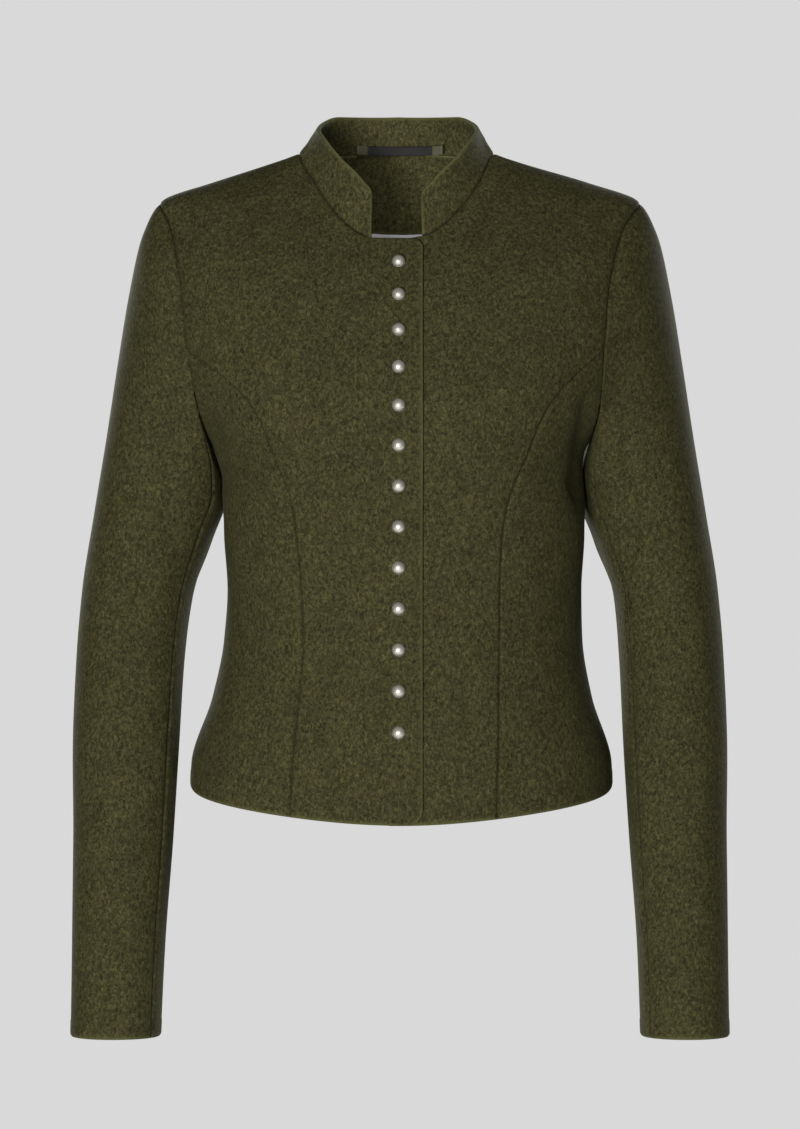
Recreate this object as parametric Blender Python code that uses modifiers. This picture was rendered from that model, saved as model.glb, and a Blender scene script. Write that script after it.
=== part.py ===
"""A woman's short fitted loden jacket with a stand collar, filled out as it is when worn.

Metres, +Z up, the jacket's front towards -Y and its left side towards +X.
The origin is midway between the shoulders, level with the foot of the collar.
Every panel is cut from one form: the torso is a stack of rounded rings, and each
sleeve is a tube of rings that turn from the armhole's upright plane to level.
"""

import math

import bpy
import numpy as np
from mathutils import Vector

# ---- driving sizes ------------------------------------------------------------------

CLOTH = 0.0020  # thickness of the felted wool
COLLAR_CLOTH = 0.0028  # the collar is two layers
FACING_CLOTH = 0.0012
LINING_CLOTH = 0.0010
TAPE_CLOTH = 0.0010
SEAM_GAP = 0.0003  # space left between neighbours
EDGE_INSET = 0.00015  # each panel stops this far short of its seam
LAP_GAP = 0.0012  # between the two fronts where they lap
LAP_FULL = 0.0240  # the fronts part over this much either side of the middle
LAP_FADE = 0.0600

FRONT_EDGE = 0.0176  # the right front reaches this far past the middle
UNDER_EDGE = -0.0190  # the left front reaches this far under it
BUTTON_LINE = -0.0010
EDGE_CORNER = 0.0120  # rounded lower corner of the right front

HEM_FRONT = -0.5280
HEM_SIDE = -0.5000
HEM_BACK = -0.5120
HEM_BEND = 0.93  # how squarely the hem turns down at the front

NECK_SIDE = 0.0040
NECK_BACK = 0.0090
NECK_FRONT_RIGHT = -0.0740
NECK_FRONT_LEFT = -0.0680
NECK_BEND = 1.25  # how squarely the neckline turns down at the front
LAP_TOP = -0.0690  # the right front's free top edge
UNDER_TOP = -0.0710  # and the left front's, hidden below it
COLLAR_END_RIGHT = -0.0220
COLLAR_END_LEFT = 0.0170
COLLAR_CORNER = 0.0075
COLLAR_END_TURN = 0.25  # radians from the middle, near the collar's ends
COLLAR_SHIFT = -0.0016  # the collar's upper edge leans this far to the right

ARM_TOP = -0.0360
ARM_BOTTOM = -0.2200
ARM_FRONT_RIGHT = 0.0565  # how far the armhole reaches before the shoulder line
ARM_FRONT_LEFT = 0.0640
ARM_SCOOP = 0.30  # it is cut in by this share more at its lower front
ARM_BACK = 0.0660
ARM_FADE = 0.23  # the share of the sleeve's length that bends to meet the armhole
FRONT_SEAM_TURN = math.radians(108)  # where the front princess seam leaves the armhole
BACK_SEAM_TURN = math.radians(100)  # and the back one
UNDER_SLEEVE_STEPS = (2, 4)  # the sleeve's two seams, in armhole steps past the princess and side seams

BUST_ANGLE = math.radians(37)
BUST_HEIGHT = -0.2250
BUST_FULLNESS = 0.0085
BUST_SPREAD = math.radians(24)
BUST_DEPTH = 0.0520

FACING_TURN = math.radians(68)  # half its width round the neck
FACING_TOP = -0.0015  # it laps this far over the collar's seam
FACING_DEPTH = 0.0630
LINING_TURN = math.radians(42)
LINING_DEPTH = 0.0600
BACKING_GAP = 0.0022  # what lies inside the back keeps this far from its wall
BACKING_BEND = 0.5  # how squarely its edges turn towards the shoulders
TAPE_TURN = math.radians(29.5)  # half the hanger tape's length round the neck
TAPE_END_TURN = math.radians(11)  # and each of its stitched ends
TAPE_WIDTH = 0.0074
TAPE_MIDDLE = 0.0098
TAPE_REACH = 0.0525

BUTTON_COUNT = 13
BUTTON_RADIUS = 0.0053
BUTTON_RISE = 0.0050
BUTTON_GAP = 0.0009  # clears the flat facets of the front below it
BUTTON_TOP = -0.0882
BUTTON_PITCH = 0.0322
BUTTON_CLOSE_UP = 0.0058  # the top ones sit this much closer
BUTTON_EVEN_FROM = 8
RIM_SHARE = 0.9  # the rim's foot is drawn in to this share of the radius
RIM_DROP = 0.0006  # and this thick

MITRE_FROM, MITRE_SPAN = 0.1, 0.6  # the range of facing over which two walls are mitred
SHARP_ANGLE = math.radians(40)


def table(columns, *rows):
    """Rows of numbers as one array for each named column."""
    return dict(zip(columns.split(), np.array(rows, float).T))


# The torso's rings, from below the hem to the neck. Each has its half width, how far
# its middle stands to the left, its depth before and behind the shoulder line, and
# how square its front and back are (2 is an ellipse).
TORSO = table(
    "height  half    middle  front   back    front_sq back_sq",
    (-0.5400, 0.1690, 0.0010, 0.1190, 0.1160, 2.30, 2.20),
    (-0.4850, 0.1678, 0.0012, 0.1140, 0.1110, 2.30, 2.20),
    (-0.4300, 0.1512, 0.0018, 0.1070, 0.0990, 2.25, 2.15),
    (-0.3850, 0.1430, 0.0026, 0.1015, 0.0880, 2.20, 2.10),
    (-0.3450, 0.1412, 0.0036, 0.0990, 0.0830, 2.20, 2.10),
    (-0.3000, 0.1438, 0.0034, 0.1030, 0.0860, 2.20, 2.15),
    (-0.2580, 0.1440, 0.0020, 0.1120, 0.0940, 2.25, 2.25),
    (-0.2360, 0.1474, 0.0000, 0.1150, 0.0980, 2.30, 2.30),
    (-0.2200, 0.1545, 0.0000, 0.1160, 0.1000, 2.40, 2.35),
    (-0.2000, 0.1660, 0.0000, 0.1150, 0.1020, 2.50, 2.40),
    (-0.1700, 0.1790, 0.0000, 0.1100, 0.1030, 2.60, 2.45),
    (-0.1300, 0.1885, 0.0000, 0.0980, 0.1010, 2.70, 2.45),
    (-0.0900, 0.1925, 0.0000, 0.0800, 0.0950, 2.70, 2.35),
    (-0.0600, 0.1945, 0.0000, 0.0610, 0.0880, 2.60, 2.20),
    (-0.0400, 0.1950, 0.0000, 0.0460, 0.0800, 2.50, 2.10),
    (-0.0340, 0.1896, 0.0000, 0.0415, 0.0775, 2.45, 2.05),
    (-0.0200, 0.1500, 0.0000, 0.0305, 0.0710, 2.40, 2.00),
    (-0.0040, 0.0990, -0.0024, 0.0170, 0.0650, 2.30, 2.00),
    (0.0040, 0.0772, -0.0028, 0.0080, 0.0620, 2.20, 2.00),
    (0.0100, 0.0645, -0.0024, 0.0020, 0.0590, 2.20, 2.00),
)

# The sleeves' rings, from the armhole to the cuff: each ring's outer and inner ends as
# seen from the front, its middle's place front to back, and its half depth.
SLEEVE = table(
    "outer_x outer_z  inner_right inner_left inner_z  middle_y half_depth square",
    (0.1916, -0.0360, 0.1545, 0.1545, -0.2200, 0.0040, 0.0620, 2.05),
    (0.2062, -0.0630, 0.1512, 0.1520, -0.2325, 0.0080, 0.0640, 2.10),
    (0.2176, -0.1100, 0.1465, 0.1490, -0.2440, 0.0160, 0.0640, 2.10),
    (0.2268, -0.1630, 0.1425, 0.1470, -0.2570, 0.0240, 0.0620, 2.15),
    (0.2366, -0.2250, 0.1410, 0.1475, -0.2750, 0.0290, 0.0590, 2.15),
    (0.2463, -0.2850, 0.1525, 0.1580, -0.3050, 0.0270, 0.0560, 2.15),
    (0.2552, -0.3450, 0.1668, 0.1720, -0.3520, 0.0190, 0.0530, 2.15),
    (0.2592, -0.4000, 0.1728, 0.1758, -0.4020, 0.0080, 0.0510, 2.15),
    (0.2612, -0.4700, 0.1765, 0.1785, -0.4700, -0.0060, 0.0490, 2.15),
    (0.2598, -0.5450, 0.1805, 0.1825, -0.5440, -0.0220, 0.0465, 2.15),
    (0.2598, -0.6250, 0.1860, 0.1878, -0.6240, -0.0370, 0.0440, 2.15),
    (0.2602, -0.6970, 0.1892, 0.1903, -0.6970, -0.0470, 0.0425, 2.15),
)

# The princess seams as seen from the front and from behind, from the hem up to where
# they turn out to the armhole: their distance from the middle on each side.
FRONT_SEAM = table(
    "height   right   left",
    (-0.5160, 0.0864, 0.0757),
    (-0.4700, 0.0833, 0.0770),
    (-0.4300, 0.0795, 0.0776),
    (-0.3900, 0.0764, 0.0781),
    (-0.3400, 0.0781, 0.0788),
    (-0.3000, 0.0812, 0.0802),
    (-0.2700, 0.0846, 0.0846),
    (-0.2400, 0.0950, 0.0950),
    (-0.2200, 0.1015, 0.1025),
    (-0.1960, 0.1170, 0.1172),
)
BACK_SEAM = table(
    "height   right   left",
    (-0.5080, 0.0860, 0.0860),
    (-0.4300, 0.0780, 0.0780),
    (-0.3450, 0.0700, 0.0700),
    (-0.2700, 0.0800, 0.0800),
    (-0.2100, 0.0990, 0.0990),
    (-0.1700, 0.1220, 0.1220),
)

# The collar's upper edge, by its angle round the neck from the front: its distance from
# the neck's axis, and its height.
COLLAR_TOP = table(
    "angle  reach   height",
    (0, 0.0635, -0.0390),
    (19, 0.0635, -0.0286),
    (33, 0.0635, -0.0140),
    (45, 0.0635, -0.0040),
    (58, 0.0635, 0.0070),
    (72, 0.0635, 0.0165),
    (90, 0.0635, 0.0245),
    (108, 0.0630, 0.0315),
    (128, 0.0610, 0.0365),
    (180, 0.0545, 0.0378),
)

# How many steps each stretch of seam takes. Panels that share a seam share its steps.
CORNER_STEPS = 2
SKIRT_STEPS = 10
CHEST_STEPS = 3
NECK_STEPS = 6
SIDE_STEPS = 4
FRONT_COLUMNS = 7
BACK_COLUMNS = 6
COLLAR_ROWS = 3
BACKING_ROWS = 3
FACING_COLUMNS = 12
LINING_COLUMNS = 8
TAPE_COLUMNS = 8
TAPE_END_COLUMNS = 2
DOME_STEPS = 4
BUTTON_SIDES = 12

RIGHT, LEFT = -1, 1

# ---- curves and the form ---------------------------------------------------------------


def smooth(at, known, values):
    """A monotone cubic through the table's rows, so that it never overshoots them."""
    steps = np.diff(known)
    slopes = np.diff(values) / steps
    product = slopes[:-1] * slopes[1:]
    total = slopes[:-1] + slopes[1:]
    turned = product > 0
    inner = np.where(turned, 2 * product / np.where(turned, total, 1), 0)
    bends = np.concatenate([slopes[:1], inner, slopes[-1:]])
    at = np.clip(at, known[0], known[-1])
    row = np.clip(np.searchsorted(known, at, "right") - 1, 0, len(steps) - 1)
    t = (at - known[row]) / steps[row]
    near = values[row] * (1 + 2 * t) * (1 - t) ** 2 + values[row + 1] * t**2 * (3 - 2 * t)
    lean = bends[row] * t * (1 - t) ** 2 - bends[row + 1] * t**2 * (1 - t)
    return near + steps[row] * lean


def ring(height):
    """The torso ring's sizes at each height."""
    return {name: smooth(height, TORSO["height"], TORSO[name]) for name in TORSO if name != "height"}


def torso(angle, height):
    """Points of the torso's form.

    The angle goes from 0 at the front through 90 degrees at the left side to 180 at the
    back. A ring reaches ((|sin| / half)^n + (|cos| / depth)^n)^(-1/n) from its middle, and
    the bust adds a soft round fullness to the front.
    """
    angle, height = np.broadcast_arrays(np.asarray(angle, float), np.asarray(height, float))
    size = ring(height)
    before = np.cos(angle) > 0
    depth = np.where(before, size["front"], size["back"])
    square = np.where(before, size["front_sq"], size["back_sq"])
    across = (np.abs(np.sin(angle)) / size["half"]) ** square
    along = (np.abs(np.cos(angle)) / depth) ** square
    reach = (across + along) ** (-1 / square)
    turn = np.abs((angle + math.pi) % math.tau - math.pi)
    full = np.exp(-(((turn - BUST_ANGLE) / BUST_SPREAD) ** 2) - ((height - BUST_HEIGHT) / BUST_DEPTH) ** 2)
    reach = reach + BUST_FULLNESS * full
    return np.stack([size["middle"] + reach * np.sin(angle), -reach * np.cos(angle), height], -1)


def unit(vectors):
    """Each vector at length 1."""
    return vectors / np.linalg.norm(vectors, axis=-1, keepdims=True)


def torso_normal(angle, height):
    """The torso's outward direction, from the form's own slopes."""
    small_angle, small_height = 2e-3, 4e-4
    round_it = torso(angle + small_angle, height) - torso(angle - small_angle, height)
    up_it = torso(angle, height + small_height) - torso(angle, height - small_height)
    return unit(np.cross(round_it, up_it))


def angle_at(side, across, height, behind=False):
    """The angle of the ring's point at x = side * across, on the front or the back."""
    size = ring(height)
    depth = size["back"] if behind else size["front"]
    square = size["back_sq"] if behind else size["front_sq"]
    across = across - side * size["middle"]
    share = np.clip(across / size["half"], 0, 1)
    deep = depth * (1 - share**square) ** (1 / square)
    return side * np.arctan2(across, -deep if behind else deep)


def front_angle(x, height):
    """The angle of a front point that stands at x."""
    size = ring(height)
    return np.arcsin((x - size["middle"]) / size["front"])


def hem(angle):
    """The hem's height, lowest at the middle of the front."""
    level = np.cos(angle)
    drop = np.where(level > 0, HEM_FRONT - HEM_SIDE, HEM_BACK - HEM_SIDE)
    return HEM_SIDE + drop * np.abs(level) ** HEM_BEND


def neck(side, angle):
    """The neckline's height, by its angle round the neck."""
    level = np.cos(angle)
    front = NECK_FRONT_RIGHT if side == RIGHT else NECK_FRONT_LEFT
    rise = np.where(level > 0, front - NECK_SIDE, NECK_BACK - NECK_SIDE)
    return NECK_SIDE + rise * np.abs(level) ** NECK_BEND


def armhole(side, turn):
    """Angle and height of the armhole's points. The turn goes from 0 at the shoulder
    through 90 degrees at the front and 180 under the arm, and back behind."""
    middle = (ARM_TOP + ARM_BOTTOM) / 2
    height = middle + (ARM_TOP - ARM_BOTTOM) / 2 * np.cos(turn)
    front = (ARM_FRONT_RIGHT if side == RIGHT else ARM_FRONT_LEFT) * (1 - ARM_SCOOP * np.cos(turn))
    y = -np.sin(turn) * np.where(np.sin(turn) > 0, front, ARM_BACK)
    size = ring(height)
    depth = np.where(y < 0, size["front"], size["back"])
    square = np.where(y < 0, size["front_sq"], size["back_sq"])
    x = size["half"] * (1 - (np.abs(y) / depth) ** square) ** (1 / square)
    return side * np.arctan2(x, -y), height


def sleeve_ring(side, turn, along):
    """Points of a sleeve's own rings, as if on the left. Each is a squared ellipse in the
    plane of its outer and inner ends and the Y axis."""
    rows = np.linspace(0, 1, len(SLEEVE["square"]))
    at = {name: smooth(along, rows, SLEEVE[name]) for name in SLEEVE}
    outer = np.stack([at["outer_x"], at["middle_y"], at["outer_z"]], -1)
    inner_x = at["inner_right"] if side == RIGHT else at["inner_left"]
    inner = np.stack([inner_x, at["middle_y"], at["inner_z"]], -1)
    power = 2 / at["square"]
    out_in = np.sign(np.cos(turn)) * np.abs(np.cos(turn)) ** power
    front_back = np.sign(np.sin(turn)) * np.abs(np.sin(turn)) ** power
    points = (outer + inner) / 2 + (outer - inner) / 2 * out_in[..., None]
    points[..., 1] -= at["half_depth"] * front_back
    return points


def sleeve_tube(side, turn, along):
    """Points of a sleeve, from the armhole (along 0) to the cuff (along 1). The first
    rings are drawn onto the armhole's own curve, which bends with the body."""
    turn, along = np.broadcast_arrays(np.asarray(turn, float), np.asarray(along, float))
    start = torso(*armhole(side, turn)) * (side, 1, 1)
    fade = np.clip(1 - along / ARM_FADE, 0, 1) ** 2
    points = sleeve_ring(side, turn, along)
    points = points + (start - sleeve_ring(side, turn, 0 * along)) * fade[..., None]
    return points * (side, 1, 1)


def tube_ways(points):
    """The outward directions over a closed tube's grid of rings."""
    round_it = np.roll(points, -1, axis=1) - np.roll(points, 1, axis=1)
    ways = unit(np.cross(round_it, np.gradient(points, axis=0)))
    return ways * np.sign(np.sum(ways * (points - points.mean(axis=1, keepdims=True))))


def mitre(own, other):
    """The way from a seam into the cloth when two walls meet at a ridge: it halves the
    angle between them. Where they fold back on each other each keeps its own."""
    facing = np.sum(own * other, -1, keepdims=True)
    halved = (own + other) / np.maximum(1 + facing, 1)
    share = np.clip((facing - MITRE_FROM) / MITRE_SPAN, 0, 1)
    return own * (1 - share) + halved * share


# ---- making solids ------------------------------------------------------------------------


def material(name, colour, roughness, metallic=0.0):
    """A plain finish, its colour in linear light."""
    made = bpy.data.materials.new(name)
    made.use_nodes = True
    shader = made.node_tree.nodes["Principled BSDF"]
    shader.inputs["Base Color"].default_value = (*colour, 1)
    shader.inputs["Roughness"].default_value = roughness
    shader.inputs["Metallic"].default_value = metallic
    return made


def inset(points):
    """Pulls the four edges of a grid of points in, to leave the gap along each seam."""
    moved = points.copy()
    for first, second in ((0, 1), (-1, -2)):
        moved[first] += unit(points[second] - points[first]) * EDGE_INSET
        moved[:, first] += unit(points[:, second] - points[:, first]) * EDGE_INSET
    return moved


def halves(quads, points):
    """Each four-sided face as two triangles, along its shorter diagonal, so that two
    neighbours whose edges twist together are split the same way."""
    a, b, c, d = quads.T
    short = np.linalg.norm(points[a] - points[c], axis=1) < np.linalg.norm(points[b] - points[d], axis=1)
    one = np.stack([a, b, c, a, c, d], 1)
    other = np.stack([b, c, d, b, d, a], 1)
    return np.where(short[:, None], one, other).reshape(-1, 3)


def wall(name, outer, inner, finish):
    """One closed solid between two grids of points, rows by columns."""
    rows, columns = outer.shape[:2]
    count = rows * columns
    number = np.arange(count).reshape(rows, columns)
    a, b = number[:-1, :-1].ravel(), number[:-1, 1:].ravel()
    c, d = number[1:, 1:].ravel(), number[1:, :-1].ravel()
    top = np.stack([a, b, c, d], 1)
    border = np.concatenate([number[0, :-1], number[:-1, -1], number[-1, :0:-1], number[:0:-1, 0]])
    after = np.roll(border, -1)
    rim = np.stack([after, border, border + count, after + count], 1)
    points = np.concatenate([outer, inner]).reshape(-1, 3)
    faces = np.concatenate([top, top[:, ::-1] + count]).tolist() + halves(rim, points).tolist()
    mesh = bpy.data.meshes.new(name)
    mesh.from_pydata(points.tolist(), [], faces)
    mesh.shade_smooth()
    mesh.set_sharp_from_angle(angle=SHARP_ANGLE)
    mesh.materials.append(finish)
    made = bpy.data.objects.new(name, mesh)
    JACKET.objects.link(made)
    return made


def cloth(name, points, ways, thickness, finish):
    """A panel: its outer face is the grid of points, and its inner face lies inwards."""
    outer = inset(points)
    inner = outer - ways * thickness
    facing = np.cross(np.diff(points, axis=1)[:-1], np.diff(points, axis=0)[:, :-1])
    if np.sum(facing * ways[:-1, :-1]) < 0:
        outer, inner = outer[:, ::-1], inner[:, ::-1]
    return wall(name, outer, inner, finish)


def between(start, end, steps):
    """Evenly spaced points from start to end, both included."""
    share = np.linspace(0, 1, steps + 1)[:, None]
    return np.asarray(start) * (1 - share) + np.asarray(end) * share


def patch(bottom, top, start, end):
    """Angles and heights over a four-sided panel, filled in evenly from its four edges."""
    across = np.linspace(0, 1, len(bottom))[None, :, None]
    up = np.linspace(0, 1, len(start))[:, None, None]
    sides = start[:, None] * (1 - across) + end[:, None] * across
    ends = bottom * (1 - up) + top * up
    corners = (bottom[0] * (1 - across) + bottom[-1] * across) * (1 - up)
    corners = corners + (top[0] * (1 - across) + top[-1] * across) * up
    return sides + ends - corners


def hem_line(start, end, steps):
    """The hem's angles and heights."""
    angle = np.linspace(start, end, steps + 1)
    return np.stack([angle, hem(angle)], 1)


def princess_line(seam, side, turn, behind):
    """A princess seam's angles and heights, from the hem to the armhole."""
    word = "left" if side == LEFT else "right"
    last_angle, last_height = armhole(side, turn)
    last = torso(last_angle, last_height)
    across = np.append(seam[word], abs(last[0]))
    height = np.append(seam["height"], last_height)
    length = np.append(0, np.cumsum(np.hypot(np.diff(across), np.diff(height))))
    share = np.linspace(0, 1, CORNER_STEPS + SKIRT_STEPS + 1) * length[-1]
    height = smooth(share, length, height)
    angle = angle_at(side, smooth(share, length, across), height, behind)
    height[0] = hem(angle[0])
    angle[-1] = last_angle
    return np.stack([angle, height], 1)


def side_line(side):
    """The side seam, from the hem to the foot of the armhole."""
    return between((side * math.pi / 2, HEM_SIDE), (side * math.pi / 2, ARM_BOTTOM), CORNER_STEPS + SKIRT_STEPS)


def collar_end(side):
    """The neckline's angle where the collar starts."""
    x = COLLAR_END_RIGHT if side == RIGHT else COLLAR_END_LEFT
    return float(front_angle(x, neck(side, COLLAR_END_TURN)))


def neck_line(side, start, end):
    """The neckline's angles and heights."""
    angle = np.linspace(start, end, NECK_STEPS + 1)
    return np.stack([angle, neck(side, angle)], 1)


def front_edge(side):
    """The front's free edge: round the lower corner, up past the chest, and over the
    upper corner to the collar's end."""
    edge, top = (FRONT_EDGE, LAP_TOP) if side == RIGHT else (UNDER_EDGE, UNDER_TOP)
    bend = np.linspace(0, math.pi / 2, CORNER_STEPS + 1)
    x = edge + side * EDGE_CORNER * (1 - np.sin(bend))
    height = HEM_FRONT + EDGE_CORNER * (1 - np.cos(bend))
    rise = np.linspace(height[-1], top - COLLAR_CORNER, SKIRT_STEPS + CHEST_STEPS + 1)[1:]
    height = np.concatenate([height, rise, [top]])
    x = np.concatenate([x, np.full(len(rise), edge), [edge + side * COLLAR_CORNER]])
    return np.stack([front_angle(x, height), height], 1)


def lap(side, points):
    """How far a front stands off the form where the two fronts lap."""
    share = np.clip((LAP_FADE - np.abs(points[..., 0])) / (LAP_FADE - LAP_FULL), 0, 1)
    return -side * (CLOTH + LAP_GAP) / 2 * share**2 * (3 - 2 * share)


def panel(name, side, grid, on_arm, steps, lapped=False):
    """A torso panel from its grid of angles and heights. Its border on_arm lies on
    these steps of the armhole, where its edge is mitred to the sleeve's."""
    points = torso(grid[..., 0], grid[..., 1])
    ways = torso_normal(grid[..., 0], grid[..., 1])
    if lapped:
        points = points + ways * lap(side, points)[..., None]
    _, _, sleeve_ways = sleeve_rings(side)
    steps = np.array(steps) % sleeve_ways.shape[1]
    ways[on_arm] = mitre(ways[on_arm], sleeve_ways[0, steps])
    return cloth(name, points, ways, CLOTH, LODEN)


def front_panels(side, word):
    """The front and its side panel, which meet at the princess seam. The front's inner
    border is its free edge and the neckline; its outer one is the seam and the armhole."""
    seam = princess_line(FRONT_SEAM, side, FRONT_SEAM_TURN, behind=False)
    opening = front_edge(side)
    neckline = neck_line(side, collar_end(side), side * math.pi / 2)
    inner = np.concatenate([opening, neckline])
    arm_steps = len(inner) - len(seam)
    arm_turns = np.linspace(FRONT_SEAM_TURN, 0, arm_steps + 1)
    outer = np.concatenate([seam[:-1], np.stack(armhole(side, arm_turns), 1)])
    bottom = hem_line(inner[0, 0], seam[0, 0], FRONT_COLUMNS)
    top = between(inner[-1], outer[-1], FRONT_COLUMNS)
    grid = patch(bottom, top, inner, outer)
    on_arm = (slice(len(seam) - 1, None), -1)
    panel(f"front_{word}", side, grid, on_arm, range(arm_steps, -1, -1), lapped=True)

    under_turns = np.linspace(FRONT_SEAM_TURN, math.pi, SIDE_STEPS + 1)
    bottom = hem_line(seam[0, 0], side * math.pi / 2, SIDE_STEPS)
    top = np.stack(armhole(side, under_turns), 1)
    grid = patch(bottom, top, seam, side_line(side))
    steps = range(arm_steps, arm_steps + SIDE_STEPS + 1)
    panel(f"front_side_{word}", side, grid, (-1, slice(None)), steps)


def back_panels(side, word):
    """The back and its side panel. The back's inner border is the middle seam and the
    neckline; its outer one is the princess seam and the armhole."""
    start, end = math.tau - BACK_SEAM_TURN, math.tau
    seam = princess_line(BACK_SEAM, side, start, behind=True)
    centre = side * math.pi
    spine_top = (centre, float(neck(side, centre)))
    spine = between((centre, HEM_BACK), spine_top, CORNER_STEPS + SKIRT_STEPS + CHEST_STEPS)
    inner = np.concatenate([spine, neck_line(side, centre, side * math.pi / 2)[1:]])
    arm_turns = np.linspace(start, end, len(inner) - len(seam) + 1)
    outer = np.concatenate([seam[:-1], np.stack(armhole(side, arm_turns), 1)])
    bottom = hem_line(centre, seam[0, 0], BACK_COLUMNS)
    top = between(inner[-1], outer[-1], BACK_COLUMNS)
    grid = patch(bottom, top, inner, outer)[:, ::-1]
    on_arm = (slice(len(seam) - 1, None), 0)
    first = armhole_turns()[1] + 2 * SIDE_STEPS
    panel(f"back_{word}", side, grid, on_arm, range(first, first + len(arm_turns)))

    under_turns = np.linspace(math.pi, start, SIDE_STEPS + 1)
    bottom = hem_line(side * math.pi / 2, seam[0, 0], SIDE_STEPS)
    top = np.stack(armhole(side, under_turns), 1)
    grid = patch(bottom, top, side_line(side), seam)
    panel(f"back_side_{word}", side, grid, (-1, slice(None)), range(first - SIDE_STEPS, first + 1))


def armhole_turns():
    """The armhole's steps all the way round, which both its sides share."""
    front_steps = CHEST_STEPS + NECK_STEPS + 2
    back_steps = CHEST_STEPS + NECK_STEPS
    back_start = math.tau - BACK_SEAM_TURN
    stretches = (
        np.linspace(0, FRONT_SEAM_TURN, front_steps + 1)[:-1],
        np.linspace(FRONT_SEAM_TURN, math.pi, SIDE_STEPS + 1)[:-1],
        np.linspace(math.pi, back_start, SIDE_STEPS + 1)[:-1],
        np.linspace(back_start, math.tau, back_steps + 1)[:-1],
    )
    return np.concatenate(stretches), front_steps


def sleeve_rings(side):
    """A sleeve's grid of points and outward directions, rings by armhole steps."""
    turns, _ = armhole_turns()
    turn, down = np.meshgrid(turns, np.linspace(0, 1, len(SLEEVE["square"])))
    points = sleeve_tube(side, turn, down)
    return turns, points, tube_ways(points)


def sleeve(side, word):
    """The two pieces of a sleeve."""
    turns, points, ways = sleeve_rings(side)
    ways[0] = mitre(ways[0], torso_normal(*armhole(side, turns)))
    _, front_steps = armhole_turns()
    first = front_steps + UNDER_SLEEVE_STEPS[0]
    last = front_steps + SIDE_STEPS + UNDER_SLEEVE_STEPS[1]
    under = np.arange(first, last + 1)
    top = np.arange(last, first + len(turns) + 1) % len(turns)
    cloth(f"under_sleeve_{word}", points[:, under], ways[:, under], CLOTH, LODEN)
    cloth(f"top_sleeve_{word}", points[:, top], ways[:, top], CLOTH, LODEN)


def collar_points(steps):
    """The collar's outer face: from the neckline up to its own upper edge."""
    right, left = collar_end(RIGHT), collar_end(LEFT)
    foot = np.concatenate(
        [
            np.linspace(right, -math.pi / 2, steps + 1),
            np.linspace(-math.pi / 2, -3 * math.pi / 2, 2 * steps + 1)[1:],
            np.linspace(-3 * math.pi / 2, left - math.tau, steps + 1)[1:],
        ]
    )
    on_left = foot < -math.pi
    foot_height = np.where(on_left, neck(LEFT, foot), neck(RIGHT, foot))
    low = torso(foot, foot_height)
    first = math.asin((COLLAR_END_RIGHT - COLLAR_SHIFT) / COLLAR_TOP["reach"][1])
    last = math.asin((COLLAR_END_LEFT - COLLAR_SHIFT) / COLLAR_TOP["reach"][1]) - math.tau
    share = (foot - foot[0]) / (foot[-1] - foot[0])
    head = first + (last - first) * share
    turn = np.degrees(np.abs((head + math.pi) % math.tau - math.pi))
    reach = smooth(turn, COLLAR_TOP["angle"], COLLAR_TOP["reach"])
    height = smooth(turn, COLLAR_TOP["angle"], COLLAR_TOP["height"])
    high = np.stack([COLLAR_SHIFT + reach * np.sin(head), -reach * np.cos(head), height], -1)
    up = np.linspace(0, 1, COLLAR_ROWS + 1)[:, None, None]
    return low * (1 - up) + high * up


def collar():
    """The stand collar, from its outer face."""
    points = collar_points(NECK_STEPS)
    round_it = np.gradient(points, axis=1)
    up_it = np.gradient(points, axis=0)
    ways = unit(np.cross(up_it, round_it))
    cloth("stand_collar", points, ways, COLLAR_CLOTH, LODEN)


def backing(name, half, low, high, columns, thickness, finish):
    """A piece that lies inside the back: its half turn, between two depths below
    the neckline at the middle, which draw in towards the shoulders."""
    angle = np.linspace(math.pi - half, math.pi + half, columns + 1)
    draw = np.abs(np.cos(angle)) ** BACKING_BEND
    top = neck(LEFT, angle) - high * draw
    foot = neck(LEFT, angle) - low * draw
    share = np.linspace(0, 1, BACKING_ROWS + 1)[:, None]
    height = foot * (1 - share) + top * share
    angle = np.broadcast_to(angle, height.shape)
    ways = torso_normal(angle, height)
    points = torso(angle, height) - ways * (CLOTH + BACKING_GAP)
    cloth(name, points, ways, thickness, finish)


def tape(name, start, end, steps, finish):
    """A stretch of the hanger tape, which lies along the back of the neck."""
    angle = np.linspace(start, end, steps + 1)[None, :]
    height = TAPE_MIDDLE + np.array([[-0.5], [0.5]]) * TAPE_WIDTH + 0 * angle
    out = np.stack([np.sin(angle) + 0 * height, -np.cos(angle) + 0 * height, 0 * height], -1)
    points = out * TAPE_REACH
    points[..., 2] = height
    cloth(name, points, out, TAPE_CLOTH, finish)


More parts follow.
